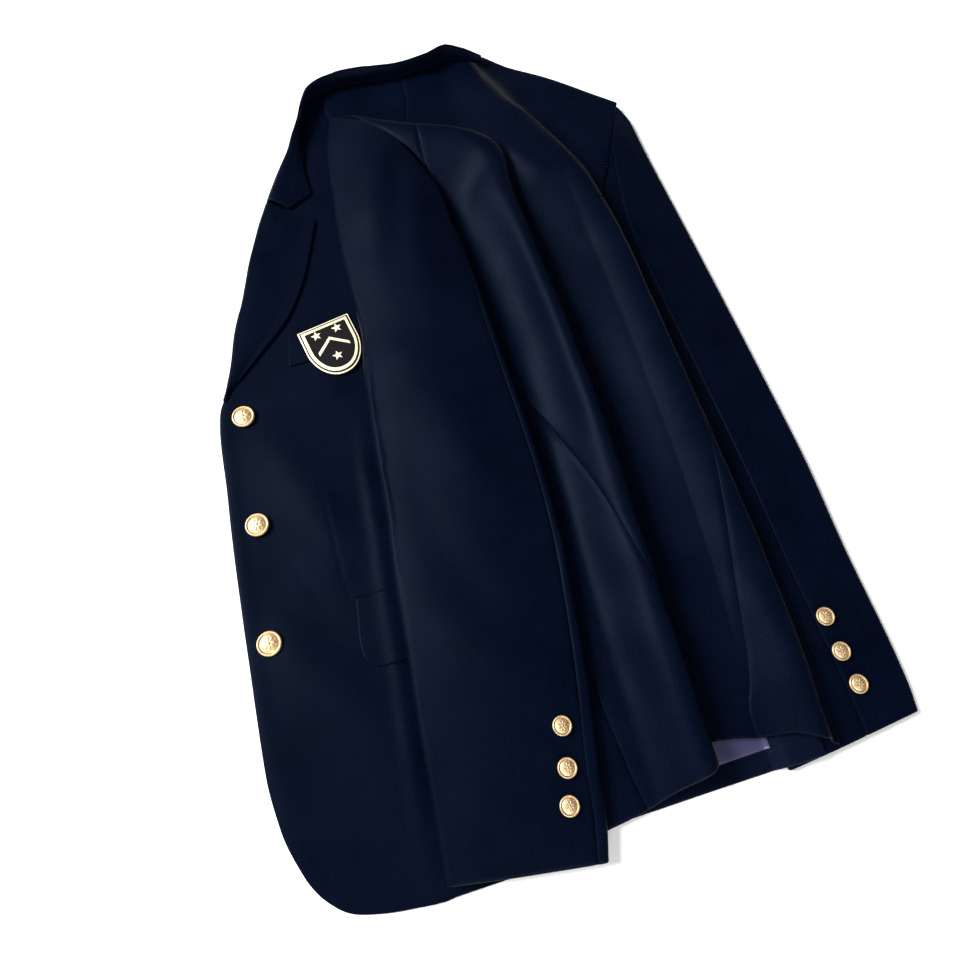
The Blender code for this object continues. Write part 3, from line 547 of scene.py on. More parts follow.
def spacedColumns(left, right, station, count):
    fine = np.linspace(left, right, 150)
    points = bodySurface(fine, np.full_like(fine, station))
    step = np.diff(points, axis=0)
    length = norm(step, axis=1)
    ahead = step / length[:, None]
    turn = np.r_[0, np.arccos(np.clip((ahead[1:] * ahead[:-1]).sum(1), -1, 1))]
    run = np.r_[0, np.cumsum(length + bodyCut["bendShare"] * np.minimum(turn, 0.25))]
    part = np.linspace(0, 1, count)
    return np.interp(part * run[-1], run, fine)


def evenRows(table, times):
    for _ in range(times):
        table = np.vstack([table[:1], (table[:-2] + 2 * table[1:-1] + table[2:]) / 4, table[-1:]])
    return table


def softenHollow(points, middleX, middleY, radius, times):
    # lets the cloth hang softly in the hollow inside a fold's bend
    away = np.hypot(points[..., 0] - middleX, points[..., 1] - middleY) / radius
    part = np.clip(1.5 * (1 - away), 0, 1)
    part = (part * part * (3 - 2 * part))[..., None]
    for _ in range(times):
        padded = np.pad(points, ((1, 1), (1, 1), (0, 0)), mode="reflect", reflect_type="odd")
        around = (padded[:-2, 1:-1] + padded[2:, 1:-1] + padded[1:-1, :-2] + padded[1:-1, 2:]) / 4
        points = points + part * (around - points) * 0.9
    return points


def edgeAt(name, station):
    # a seam, or the armhole above it
    if name == "rightSeam" and station > bodyCut["sideTop"]:
        return rightTrim(station)
    if name == "leftSeam" and station > garment["armhole"]:
        name = "leftArmhole"
    return readColumn(bodyCut[name], station)


def makeBodyPanel(piece):
    half = garment["seamGap"] / 2
    stations = steps(garment["hem"], piece["upTo"], garment["grid"])
    rows = []
    for station in stations:
        left = edgeAt(piece["left"], station) + half
        right = edgeAt(piece["right"], station) - half
        rows.append(spacedColumns(left, right, station, piece["columns"]))
    across = np.array(rows)
    width = across[:, -1:] - across[:, :1]
    share = evenRows((across - across[:, :1]) / width, bodyCut["evenTimes"])
    across = across[:, :1] + share * width
    up = np.repeat(stations[:, None], piece["columns"], axis=1)
    outer = bodySurface(across, up)
    for hollow in bodyCut["softHollows"]:
        outer = softenHollow(outer, *hollow)
    lift = creaseLift(bodyCut["creases"], outer[..., 0], outer[..., 1])
    lift += clothUnevenness(outer[..., 0], outer[..., 1])
    outer = outer + gridNormals(outer) * lift[..., None]
    outer = sinkEdges(outer, piece["seams"], *bodyCut["seamSink"])
    clothShell(piece, outer, navyWool)


bodyPanels = [
    {
        "name": "leftSide", "upTo": bodyCut["sideTop"], "columns": 36,
        "left": "leftEdge", "right": "leftSeam",
        "seams": ["right"], "cut": (0.095, 0.53), "restsOn": ["floor"],
    },
    {
        "name": "backLeft", "upTo": garment["neck"], "columns": 62,
        "left": "leftSeam", "right": "centreSeam",
        "seams": ["left", "right", "top"], "cut": (0.16, 0.76), "restsOn": ["leftSide", "rightFront"],
    },
    {
        "name": "backRight", "upTo": garment["neck"], "columns": 104,
        "left": "centreSeam", "right": "rightSeam",
        "seams": ["left", "right", "top"], "cut": (0.30, 0.76), "restsOn": ["rightFront"],
    },
    {
        "name": "rightSide", "upTo": bodyCut["sideTop"], "columns": 44,
        "left": "rightSeam", "right": "rightEdge",
        "seams": ["left"], "cut": (0.06, 0.52), "restsOn": ["rightFront"],
    },
]
for piece in bodyPanels:
    makeBodyPanel(piece)
print("body panels made")


# Left front, opened out flat

leftFront = {
    "name": "leftFront", "cut": (0.20, 0.75), "restsOn": ["floor"], "top": 2.0,
    # (y, x of its edge or roll, x of its side)
    "edges": [
        (-97.5, -62, 12), (-93, -95, 12), (-86, -119.4, 12), (-78, -130, 12), (-67, -139.3, 12),
        (-54, -146, 12), (-20, -156, 12), (16, -159.3, 12), (67, -157.8, 12), (121, -155.5, 12),
        (188, -152.3, 12), (250, -148, 12), (297, -145, 12), (320, -141.5, 12), (327, -139.2, 12),
        (331, -137, 12), (334, -135.4, 12), (337, -133, 12), (344, -128.5, 12), (365, -118.5, 12),
        (394, -109, 12), (424, -96.5, 12), (440, -91, 13), (470, -81, 62), (500, -70, 104), (512, -65, 107),
        (530, -57.6, 108), (544, -49, 105), (573, -28.6, 92), (590, -19.2, 78), (606, -12, 62),
        (625, -3.6, 48), (642, 3.6, 44), (664, 12, 48),
    ],
    "firmEdge": (0.55, 4, 7),  # the pressed, layered front edge: height, distance in, reach
    "uneven": 0.6,
    "deepest": -0.6,
    "dart": [(-70.5, 246, 0, 1.7), (-71.2, 225, -0.3, 1.7), (-71.4, 154, -0.35, 1.7), (-68, 119, 0, 1.7)],
    "creases": [
        [(-120, 310, 0, 20), (-98, 275, 2, 22), (-84, 235, 2.4, 22), (-68, 180, 1.8, 20), (-60, 140, 0, 20)],
        [(-146, 125, 0, 20), (-112, 85, 2.2, 24), (-84, 40, 2.6, 24), (-62, -15, 1.6, 22), (-54, -60, 0, 20)],
        [(-64, 395, 0, 14), (-46, 350, 1, 15), (-30, 300, 0.8, 16), (-22, 250, 0, 16)],
        [(-150, 60, 0, 12), (-146, 0, 0.9, 12), (-130, -50, 0, 12)],
        [(-128, 205, 0, 14), (-112, 160, -1, 16), (-96, 118, -0.8, 16), (-80, 80, 0, 14)],
        [
            (-62, -96, 0.4, 9), (-60, -60, 1.2, 9), (-56, -30, 1.7, 8), (-52, 13, 2, 7), (-47, 60, 1.6, 7),
            (-42, 115, 1.5, 7), (-35, 180, 1.9, 7), (-30, 240, 1.3, 7), (-23, 290, 0, 8),
        ],
    ],
}


def leftFrontLift(x, y):
    lift = creaseLift(leftFront["creases"], x, y) + creaseLift([leftFront["dart"]], x, y)
    clear = np.clip((-2 - x) / 12, 0, 1)  # stays low where the side panel and the sleeve lie on it
    lift += clothUnevenness(x, y, leftFront["uneven"])
    return np.maximum(lift, leftFront["deepest"]) * clear


def makeLeftFront(piece):
    stations = np.r_[steps(-97.5, -84, 0.9), steps(-82, -50, 1.8), steps(-47.4, 664, garment["grid"])]
    edges = readTable(piece["edges"], stations)
    part = np.linspace(0, 1, 84)
    x = edges[:, :1] + (edges[:, 1:2] - edges[:, :1]) * part
    y = np.repeat(stations[:, None], len(part), axis=1)
    height, inward, reach = piece["firmEdge"]
    firm = height * np.exp(-((x - edges[:, :1] - inward) / reach) ** 2)
    outer = np.stack([x, y, piece["top"] + firm + leftFrontLift(x, y)], axis=-1)
    clothShell(piece, outer, navyWool, piece["top"] - 0.05)


makeLeftFront(leftFront)
print("left front made")


# Lapel and collar, folded over along their roll

leftLapel = {
    "name": "leftLapel", "cut": (0.125, 0.21), "restsOn": ["leftFront"], "rows": 96, "columns": 64,
    # (roll x, roll y, edge x, edge y, roll height)
    "roll": [
        (-136.5, 331, -129.5, 340, 5.4), (-131.9, 343.4, -118, 350, 6), (-124.2, 364.8, -96, 370, 6.8),
        (-115.9, 394.1, -65.6, 398.5, 7.4), (-110, 410, -54, 415, 7.8), (-103.6, 424.4, -44, 432, 8),
        (-95.5, 447, -34.5, 453, 8.2), (-87.7, 469.7, -27, 472, 8.4), (-78, 493, -20.5, 490, 8.6),
        (-69.6, 512.3, -17, 501, 8.8), (-63.5, 524.5, -27.5, 511, 8.8), (-58.6, 534.2, -38.8, 522, 8.8),
    ],
}


def foldedSheet(piece, sections):
    middle = np.array([curveThrough(points, piece["columns"]) for points in sections])
    lift = clothUnevenness(middle[..., 0], middle[..., 1], 0.35)[..., None]
    outer = middle - gridNormals(middle) * (garment["cloth"] + lift) / 2
    clothShell(piece, outer[:, ::-1], navyWool)


def makeLapel(piece):
    sections = []
    for rollX, rollY, edgeX, edgeY, height in pathThrough(piece["roll"], piece["rows"]):
        roll = np.array([rollX, rollY])
        across = np.array([edgeX, edgeY]) - roll
        width = norm(across)
        across /= width
        half = height / 2
        narrow = min(1.0, width * 0.4 / (half + 2.6))
        foot = min(half + 1.2, width * 0.4)
        shape = [
            (foot, 2.2), (half * 0.5 * narrow, 2.3), (0.9, half),
            (half * 0.7 * narrow, height - 1.3), ((half + 2.6) * narrow, height - 1.0),
            (width * 0.42, height * 0.5 + 1.9), (width * 0.8, 3.8), (width, 3.7),
        ]
        sections.append([(*(roll + across * far), z) for far, z in shape])
    foldedSheet(piece, sections)


collar = {
    "name": "collar", "cut": (0.10, 0.33), "restsOn": ["leftFront"], "rows": 130, "columns": 44,
    # (roll x, roll y, roll height, edge x, edge y, edge height, foot inset, foot height)
    "roll": [
        (-57.4, 536.6, 9, -38.4, 523.6, 4.2, 7, 1.2), (-55.2, 541.2, 9, -25, 529.5, 3.8, 7, 1.2),
        (-53, 545.5, 9.2, -12.8, 536, 3.6, 7, 1.2), (-45, 560, 9.8, -13.6, 550, 3.8, 7, 1.2),
        (-37.4, 572.7, 10.6, -14, 563, 4.2, 7, 1.2), (-25.2, 590.9, 12.6, -10, 587, 5.2, 6, 1.2),
        (-17.5, 605.6, 15, -7.6, 603, 6.4, 5, 1.3), (-7.5, 623, 17.6, -1.5, 621, 7.6, 4, 1.5),
        (0.8, 641.6, 19.8, 7.5, 638.4, 8.6, 3.5, 2), (11.8, 658.2, 21.4, 17.6, 651.4, 9.4, 3, 2.4),
        (31.4, 667, 22.4, 33.6, 660.4, 10, 3, 2.6), (53.6, 669.4, 22.6, 53.4, 662, 10.2, 3, 2.8),
        (82.3, 666, 23.2, 81.6, 659.4, 10.4, 3, 3), (112, 662, 24.2, 111.2, 656.4, 10.6, 3, 3),
        (141.5, 663.6, 26.2, 141.4, 657.6, 10.8, 3, 3), (163, 668.2, 27.6, 163.4, 661.6, 10.8, 3, 5),
        (181, 661.6, 25, 179.8, 655.8, 11.2, 3, 10), (200, 650.4, 19.6, 197.6, 645.6, 11.6, 3, 11.2),
    ],
}


def makeCollar(piece):
    rows = pathThrough(piece["roll"], piece["rows"])
    along = np.gradient(rows[:, :2], axis=0)
    along /= norm(along, axis=1)[:, None]
    sections = []
    for row, ahead in zip(rows, along):
        rollX, rollY, height, edgeX, edgeY, edgeZ, inset, footZ = row
        inward = np.array([ahead[1], -ahead[0]])
        roll = np.array([rollX, rollY])
        foot = roll + inward * inset
        side = roll + inward * 1.0
        top = roll + inward * 3.4
        halfway = (top + (edgeX, edgeY)) / 2 + inward
        sections.append([
            (*foot, footZ),
            (*side, footZ + (height - footZ) * 0.45),
            (*top, height - 1.0),
            (*halfway, (height + edgeZ) / 2 + 0.8),
            (edgeX, edgeY, edgeZ),
        ])
    foldedSheet(piece, sections)


makeLapel(leftLapel)
makeCollar(collar)
print("lapel and collar made")


# Sleeves: rings from cuff to head, flattened tubes with rounded edges

leftSleeve = {
    # (left x, left y, right x, right y, left floor, right floor, height, edge round, bulge)
    "rings": [
        (-51, -88, 62, -106, 3.2, 7.2, 10.5, 3.8, 0), (-49.5, -66, 70, -80, 3.3, 7.8, 11.5, 4, 0),
        (-47, -40, 77, -45, 3.8, 8.4, 13, 4.4, 0), (-43, 13, 90, 13, 4.6, 9.2, 15.5, 5, 0),
        (-37, 73, 100, 73, 5, 9.9, 17, 5.6, 0), (-32, 129, 108, 129, 5, 10.2, 18.5, 6, 0),
        (-24, 190, 112, 190, 5, 10.4, 19.5, 6.4, 0), (-19, 248, 113, 248, 4.6, 10.4, 20.5, 6.8, 0),
        (-9.5, 324, 113, 324, 4.4, 10.4, 21.5, 7, 0), (-3, 360, 113, 360, 4.4, 10.4, 22.5, 7, 0),
        (-2, 404, 112.6, 400, 4.4, 10.4, 24, 7, 0), (0, 455, 111, 440, 4.4, 10.6, 26, 7, 0),
        (5, 505, 110, 462, 4.6, 11.5, 27.5, 6.8, 3), (10, 550, 109, 480, 5, 12.5, 27, 6.4, 5),
        (17, 588, 107, 492, 6, 14, 25, 5.8, 7), (26, 615, 104, 504, 8, 15, 22, 5, 9),
    ],
    "backSeam": [(0, 0.955), (2, 0.945), (4, 0.97), (6, 0.985), (8.5, 0.99), (11, 1.1)],
    "headParts": [(11, -1.1, 1.12), (12, -1, 1.3), (13, -0.9, 1.55), (14, -0.8, 1.8), (15, -0.7, 1.95)],
    "underEnds": 11.0,
    "creases": [
        [(84, 545, 0, 8), (76, 520, -2.6, 10), (66, 480, -2.2, 12), (50, 430, -1.5, 14), (30, 372, 0, 16)],
        [(52, 540, 0, 10), (46, 505, 1.4, 13), (34, 466, 1, 14), (22, 425, 0, 14)],
        [(86, 505, 0, 9), (82, 472, 1.4, 12), (73, 416, 1.2, 15), (64, 362, 0.9, 16), (54, 300, 0, 18)],
        [(34, 1, 0, 4), (42, -7, -0.9, 4.5), (50, -16, -0.7, 4), (56, -24, 0, 4)],
        [(38, -16, 0, 5), (46, -27, 0.8, 5), (52, -38, 0, 5)],
        [(76, 18, 0, 3), (75.5, 2, 0.7, 2.6), (71.6, -22, 0.8, 2.4),
         (67.1, -46, 0.8, 2.4), (58, -80, 0.5, 2.4)],
        [(36, 290, 0, 20), (50, 245, 2.2, 22), (63, 195, 2.8, 23), (76, 138, 2.2, 22), (84, 90, 0, 20)],
        [(8, 300, 0, 16), (4, 220, -0.9, 18), (8, 165, -1.6, 18), (22, 112, -1.6, 18), (48, 66, 0, 16)],
        [(-30, 138, 0, 18), (-8, 88, 2, 20), (20, 48, 2.4, 20), (52, 20, 1.4, 18), (74, 4, 0, 16)],
        [(112, 168, 0, 6), (103, 150, -1.2, 6), (92, 140, -0.9, 7), (78, 134, 0, 8)],
        [(110, 132, 0, 5), (101, 118, -1.5, 6), (92, 104, -1, 7), (84, 88, 0, 8)],
        [(108, 112, 0, 5), (102, 97, 1, 6), (96, 76, 0.6, 7), (92, 60, 0, 8)],
        [(-36, -20, 0, 14), (-14, -46, 1.2, 16), (12, -70, 0, 16)],
        [(-20, 330, 0, 10), (-8, 290, -1.2, 11), (-14, 240, -1.4, 11),
         (-24, 180, -1.2, 11), (-32, 110, 0, 11)],
    ],
}
rightSleeve = {
    "rings": [
        (211, -90, 323, -80, 0, 0, 9, 3.4, 0), (211, -60, 326, -56, 0, 0, 9.4, 3.4, 0),
        (211, -20, 327.5, -18, 0, 0, 9.8, 3.4, 0), (211, 40, 328, 40, 0, 0, 10.2, 3.4, 0),
        (211, 140, 332, 140, 0, 0, 10.4, 3.4, 0), (211, 243, 331, 243, 0, 0, 10.4, 3.4, 0),
        (212, 320, 329, 352, 0, 0, 10.4, 3.4, 0), (219, 378, 327, 430, 0, 0, 10.6, 3.4, 0),
        (234, 410, 325.5, 482, 0, 0, 11, 3.6, 0), (250, 432, 325, 526, 0, 0, 11.4, 3.8, 0),
        (266, 449, 319, 552, 0, 0, 11.6, 4, 0),
    ],
    "backSeam": [(0, 0.585), (4, 0.545), (10, 0.5)],
    "creases": [
        [(322, 300, 0, 10), (317, 217, -1.3, 11), (312, 150, -1.4, 11),
         (304, 80, -0.9, 11), (296, 20, 0, 10)],
        [(288, 320, 0, 14), (291, 260, 1, 14), (290, 190, 0.8, 13), (287, 120, 0, 12)],
        [(300, 556, 0, 14), (306, 520, 1.8, 15), (309, 470, 1.5, 15), (313, 400, 0, 14)],
    ],
}
frontSeamInset = 0.1  # the front seams lie a little round the edge
sleeveGap = garment["seamGap"] / 2 / 120  # as a part of a section
sleeveSeamSink = (0.5, 2.4)  # depth and reach
sleeveUneven = 0.8
edgeCloser = 1.8  # how much closer the mesh lies round an edge
topReach = 0.62  # creases fade out this far from the middle of the top


def sleeveSection(rings, at, inset):
    # points of the rings' closed sections: 0 to 1 over the top, 1 to 2 round the right edge, 2 to 3 below
    columns = [rings[:, k:k + 1] for k in range(9)]
    leftX, leftY, rightX, rightY, leftFloor, rightFloor, height, edge, bulge = columns
    width = np.hypot(rightX - leftX, rightY - leftY)
    radius = edge - inset
    arch = height - 2 * edge
    core = width - 2 * edge
    start = np.arctan2(arch * np.pi, core)
    at = np.asarray(at, float) % 4
    steep = np.arctan2(arch * np.pi * np.cos(np.pi * at), core)
    rightTurn = np.pi / 2 - start - (at - 1) * (np.pi - start)
    leftTurn = 1.5 * np.pi - (at - 3) * (np.pi - start)
    where = [at <= 1, at <= 2, at <= 3]
    topAcross = core * at - radius * np.sin(steep)
    topUp = arch * np.sin(np.pi * at) + radius * np.cos(steep)
    choices = [topAcross, core + radius * np.cos(rightTurn), core * (3 - at)]
    across = edge + np.select(where, choices, radius * np.cos(leftTurn))
    choices = [topUp, radius * np.sin(rightTurn), -radius]
    up = edge + np.select(where, choices, radius * np.sin(leftTurn))
    part = across / width
    swell = bulge * np.sin(np.pi * np.clip(part, 0, 1))
    x = leftX + (rightX - leftX) * part + (leftY - rightY) / width * swell
    y = leftY + (rightY - leftY) * part + (rightX - leftX) / width * swell
    z = leftFloor + (rightFloor - leftFloor) * part + up
    return np.stack([x, y, z], axis=-1)


def ringsAlong(sleeve):
    # rings read evenly along the sleeve, their places in its table and those of its back seam
    table = np.array(sleeve["rings"], float)
    run = runAlong((table[:, :2] + table[:, 2:4]) / 2)
    at = steps(0, run[-1], garment["grid"])
    rowAt = np.interp(at, run, np.arange(len(table)))
    return readTable(np.column_stack([run, table]), at), rowAt, readColumn(sleeve["backSeam"], rowAt)


def sleevePanel(piece, sleeve, rings, starts, ends):
    places = []
    for ring, start, end in zip(rings, starts, ends):
        fine = np.linspace(start, end, 300)
        points = sleeveSection(ring[None, :], fine[None, :], 0)[0]
        length = norm(np.diff(points, axis=0), axis=1)
        onEdge = np.floor(fine[1:]) % 2 == 1
        run = np.r_[0, np.cumsum(length * np.where(onEdge, edgeCloser, 1.0))]
        places.append(np.interp(np.linspace(0, run[-1], piece["columns"]), run, fine))
    places = np.array(places)
    outer = sleeveSection(rings, places, 0)
    onTop = np.clip(1 - np.abs((places % 4) - 0.5) / topReach, 0, 1) ** 0.5
    lift = creaseLift(sleeve["creases"], outer[..., 0], outer[..., 1])
    lift += clothUnevenness(outer[..., 0], outer[..., 1], sleeveUneven)
    outward = outer - sleeveSection(rings, places, 1.0)
    outer = outer + outward * (lift * onTop)[..., None]
    outer = sinkEdges(outer, piece["seams"], *sleeveSeamSink)
    clothShell(piece, outer, navyWool)


def makeLeftSleeve(sleeve):
    rings, rowAt, back = ringsAlong(sleeve)
    head = readTable(sleeve["headParts"], rowAt)
    below = rowAt <= sleeve["underEnds"]
    starts = np.where(below, -1 - frontSeamInset + sleeveGap, head[:, 0])
    ends = np.where(below, back - sleeveGap, head[:, 1])
    top = {
        "name": "leftTopSleeve", "columns": 72, "seams": ["right", "top"],
        "cut": (0.21, 0.68), "restsOn": ["leftFront", "leftSide"],
    }
    sleevePanel(top, sleeve, rings, starts, ends)
    under = {
        "name": "leftUnderSleeve", "columns": 56, "seams": ["left"],
        "cut": (0.17, 0.56), "restsOn": ["leftFront", "leftSide"],
    }
    frontSeam = np.full(below.sum(), 3 - frontSeamInset - sleeveGap)
    sleevePanel(under, sleeve, rings[below], (back + sleeveGap)[below], frontSeam)


def makeRightSleeve(sleeve):
    rings, rowAt, back = ringsAlong(sleeve)
    top = {
        "name": "rightTopSleeve", "columns": 40, "seams": ["left", "top"],
        "cut": (0.10, 0.66), "restsOn": ["floor"],
    }
    frontSeam = np.full(len(rings), 2 + frontSeamInset)
    sleevePanel(top, sleeve, rings, back + sleeveGap, frontSeam - sleeveGap)
    under = {
        "name": "rightUnderSleeve", "columns": 72, "seams": ["right", "top"],
        "cut": (0.18, 0.66), "restsOn": ["floor"],
    }
    sleevePanel(under, sleeve, rings, frontSeam + sleeveGap, 4 + back - sleeveGap)


makeLeftSleeve(leftSleeve)
makeRightSleeve(rightSleeve)
print("sleeves made")


# Right front under the back, inside up, and the lining above its hem

rightFront = {
    "name": "rightFront", "cut": (0.24, 0.74), "restsOn": ["floor"], "thickness": 1.9, "top": 2.0,
    # (y, x of its front edge, x of its side)
    "edges": [
        (-87, 84, 238), (-80, 60, 239), (-66, 48, 240), (-40, 42, 242), (40, 40, 248), (200, 40, 256),
        (325, 40, 256), (362, 48, 256), (384, 52, 254), (400, 57, 250), (420, 66, 246), (438, 74, 246),
        (462, 86, 255), (480, 95, 268), (500, 104, 280), (545, 128, 304), (570, 142, 287), (610, 164, 248),
        (648, 186, 212),
    ],
    "rise": [(190, 2), (200, 2), (206, 5.2), (211, 8.7), (216, 10.1), (225, 11.2), (240, 12.2), (256, 12.9)],
}
rightLining = {
    "name": "rightLining", "cut": (0.11, 0.125), "restsOn": ["rightFront"],
    "thickness": 0.7, "area": (96.0, 204.0, -72.0, 50.0), "pleatDepth": 0.5,
}


def rightFrontTop(x, y):
    fade = np.clip((470 - y) / 30, 0, 1)  # flat again under the shoulder
    return (readColumn(rightFront["rise"], x) - rightFront["top"]) * fade + rightFront["top"]


def makeRightFront(piece):
    stations = np.r_[steps(-87, -40, 2.0), steps(-32, 640, 8.0), 648.0]
    rows = []
    for low, high in readTable(piece["edges"], stations):
        bend = min(200, high - 24)
        rows.append(np.r_[np.linspace(low, bend, 44), np.linspace(bend, high, 30)[1:]])
    x = np.array(rows)
    y = np.repeat(stations[:, None], x.shape[1], axis=1)
    outer = np.stack([x, y, rightFrontTop(x, y)], axis=-1)
    clothShell(piece, outer, facingWool, piece["thickness"])


def makeRightLining(piece):
    left, right, start, end = piece["area"]
    stations = steps(start, end, 2.0)
    x, y = np.meshgrid(steps(left, right, 2.0), stations)
    # soft pleats with finer ones over them, sewn down at the hem
    ripple = np.sin(x / 9.0 + np.sin(y / 14.0) * 1.2) * piece["pleatDepth"] * 0.5
    ripple += np.sin(x / 4.3 + 1.0) * 0.12
    outer = np.stack([x, y, rightFrontTop(x, y) + 1.3 + ripple], axis=-1)
    outer[..., 2] -= 0.5 * np.exp(-((y - start) / 3.0) ** 2)
    clothShell(piece, outer, liningSatin, piece["thickness"])


makeRightFront(rightFront)
makeRightLining(rightLining)
print("right front and lining made")


# Pocket flap and chest welt, laid on the left front

pocketFlap = {
    "name": "pocketFlap", "cut": (0.14, 0.058), "restsOn": ["leftFront"], "thickness": 1.5,
    "edges": [
        (70, -56, 52), (72, -63, 56), (76, -67.5, 59), (82, -69.8, 60), (90, -70, 60), (110, -67.5, 61),
        (127, -65, 62),
    ],
}
chestWelt = {
    "name": "chestWelt", "cut": (0.095, 0.034), "restsOn": ["leftFront"], "thickness": 1.4,
    "edges": [(350, -73, 16), (361, -71, 18), (372, -69, 20), (383, -67, 22)],
}


def makeLaidPiece(piece):
    table = piece["edges"]
    stations = steps(table[0][0], table[-1][0], 1.2)
    edges = readTable(table, stations)
    part = np.linspace(0, 1, 90)
    x = edges[:, :1] + (edges[:, 1:2] - edges[:, :1]) * part
    y = np.repeat(stations[:, None], len(part), axis=1)
    below = np.where(x < 12.2, leftFront["top"], baseHeight(x, y))
    z = below + 0.4 + piece["thickness"] + leftFrontLift(x, y)
    clothShell(piece, np.stack([x, y, z], axis=-1), navyWool, piece["thickness"])


makeLaidPiece(pocketFlap)
makeLaidPiece(chestWelt)
print("flap and welt made")


# Domed metal buttons with a rope ring and a rosette

buttonForm = {
    "sides": 56,
    # (part of the radius, height as a part of the radius)
    "profile": [
        (0, 0), (0.62, 0), (0.93, 0.10), (0.99, 0.17), (1, 0.24), (0.97, 0.31), (0.91, 0.355), (0.84, 0.345),
        (0.79, 0.27), (0.74, 0.26), (0.69, 0.31), (0.6, 0.35), (0.45, 0.395), (0.3, 0.425), (0.15, 0.445),
        (0, 0.45),
    ],
    "ropeTurns": 30,
    "petals": 8,
}


def ringPoint(radius, across, angle, up):
    # across and up are parts of the radius
    return Vector((across * radius * math.cos(angle), across * radius * math.sin(angle), up * radius))


def addBead(made, radius, place, size, turn=0.0):
    # a small rounded lump, stretched by size and turned about the button's axis
    matrix = Matrix.Translation(ringPoint(radius, *place)) @ Matrix.Rotation(turn, 4, "Z")
    matrix = matrix @ Matrix.Diagonal((*[part * radius for part in size], 1))
    bmesh.ops.create_uvsphere(made, u_segments=10, v_segments=7, radius=1.0, matrix=matrix)


def makeButtonMesh(name, radius):
    made = bmesh.new()
    sides = buttonForm["sides"]
    rings = []
    for across, up in buttonForm["profile"]:
        if across == 0:
            rings.append([made.verts.new((0, 0, up * radius))])
            continue
        spots = [ringPoint(radius, across, 2 * math.pi * k / sides, up) for k in range(sides)]
        rings.append([made.verts.new(spot) for spot in spots])
    for low, high in zip(rings, rings[1:]):
        for k in range(sides):
            after = (k + 1) % sides
            if len(low) == 1:
                made.faces.new((low[0], high[after], high[k]))
            elif len(high) == 1:
                made.faces.new((low[k], low[after], high[0]))
            else:
                made.faces.new((low[k], low[after], high[after], high[k]))
    # faces in the groove inside the rope ring take the darker gilt copy, as painted shade in the recess
    for face in made.faces:
        middle = face.calc_center_median()
        inGroove = 0.72 < math.hypot(middle.x, middle.y) / radius < 0.86 and middle.z > 0.2 * radius
        face.material_index = 1 if inGroove else 0
    for k in range(buttonForm["ropeTurns"]):
        angle = 2 * math.pi * k / buttonForm["ropeTurns"]
        addBead(made, radius, (0.895, angle, 0.335), (0.035, 0.09, 0.03), angle + math.radians(52))
    for k in range(buttonForm["petals"]):
        angle = 2 * math.pi * k / buttonForm["petals"]
        addBead(made, radius, (0.33, angle, 0.415), (0.21, 0.085, 0.05), angle)
        addBead(made, radius, (0.62, angle + 0.39, 0.345), (0.045, 0.045, 0.035), angle)
    addBead(made, radius, (0, 0, 0.45), (0.11, 0.11, 0.07))
    mesh = bpy.data.meshes.new(name)
    made.to_mesh(mesh)
    made.free()
    mesh.materials.append(giltMetal)
    mesh.materials.append(giltPaintedShade)
    mesh.shade_smooth()
    return mesh


def makeButton(name, node, radius, turn):
    # sits where the frame has the button, tilted as its cloth is
    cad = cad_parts[node]
    points = np.array([tuple(vertex.co) for vertex in cad.data.vertices])
    centre = points.mean(0)
    tilt = np.linalg.svd(points - centre)[2][2]
    facing = Vector(tilt if tilt[2] > 0 else -tilt)
    low = ((points - centre) @ np.array(facing)).min()
    made = putInScene(name, makeButtonMesh(name, radius * mm))
    made.location = Vector(centre) + facing * low
    upright = facing.to_track_quat("Z", "Y").to_matrix()
    made.rotation_euler = (upright @ Matrix.Rotation(turn, 3, "Z")).to_euler()
    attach(made, "root")
    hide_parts(node)


buttonSizes = {"frontButton": 10.0, "leftCuffButton": 7.3, "rightCuffButton": 7.3}
for name, radius in buttonSizes.items():
    for number in (1, 2, 3):
        makeButton(f"{name}{number}", f"{nodeOf(name)}_{number}", radius, 0.4 * number)
print("buttons made")


# Shield badge: gilt border round a black face, a chevron and three small stars

badge = {
    "at": (-30.5, 358), "width": 50, "height": 56, "turn": math.radians(10), "low": 4.3,
    "chevron": [(-15, -6), (0, 6), (15, -6), (15, -2.6), (0, 9.4), (-15, -2.6)],
    "stars": [(-10, 15), (10, 15), (0, -12)],
    "starRadii": (5, 2.1),
    "stands": {"badgeBacking": "badge", "badgeFace": "badge_face"},
    "slots": {"paleGilt": "gold metal", "blackEnamel": "black enamel"},
}


def shieldOutline(width, height, count=30):
    half = width / 2
    top = height * 0.46
    bend = height * 0.02
    side = [(half, top), (half, (top + bend) / 2)]
    for k in range(count):
        turn = math.pi / 2 * k / count
        side.append((half * math.cos(turn) ** 0.9, bend - (height - top + bend) * math.sin(turn) ** 1.15))
    tip = [(0, bend - (height - top + bend))]
    mirrored = [(-x, y) for x, y in reversed(side)]
    return [(-half * 0.5, top), (0, top), (half * 0.5, top)] + side + tip + mirrored


def starOutline(x, y):
    spots = []
    for k in range(10):
        far = badge["starRadii"][k % 2]
        angle = math.pi / 2 + math.pi * k / 5
        spots.append((x + far * math.cos(angle), y + far * math.sin(angle)))
    return spots


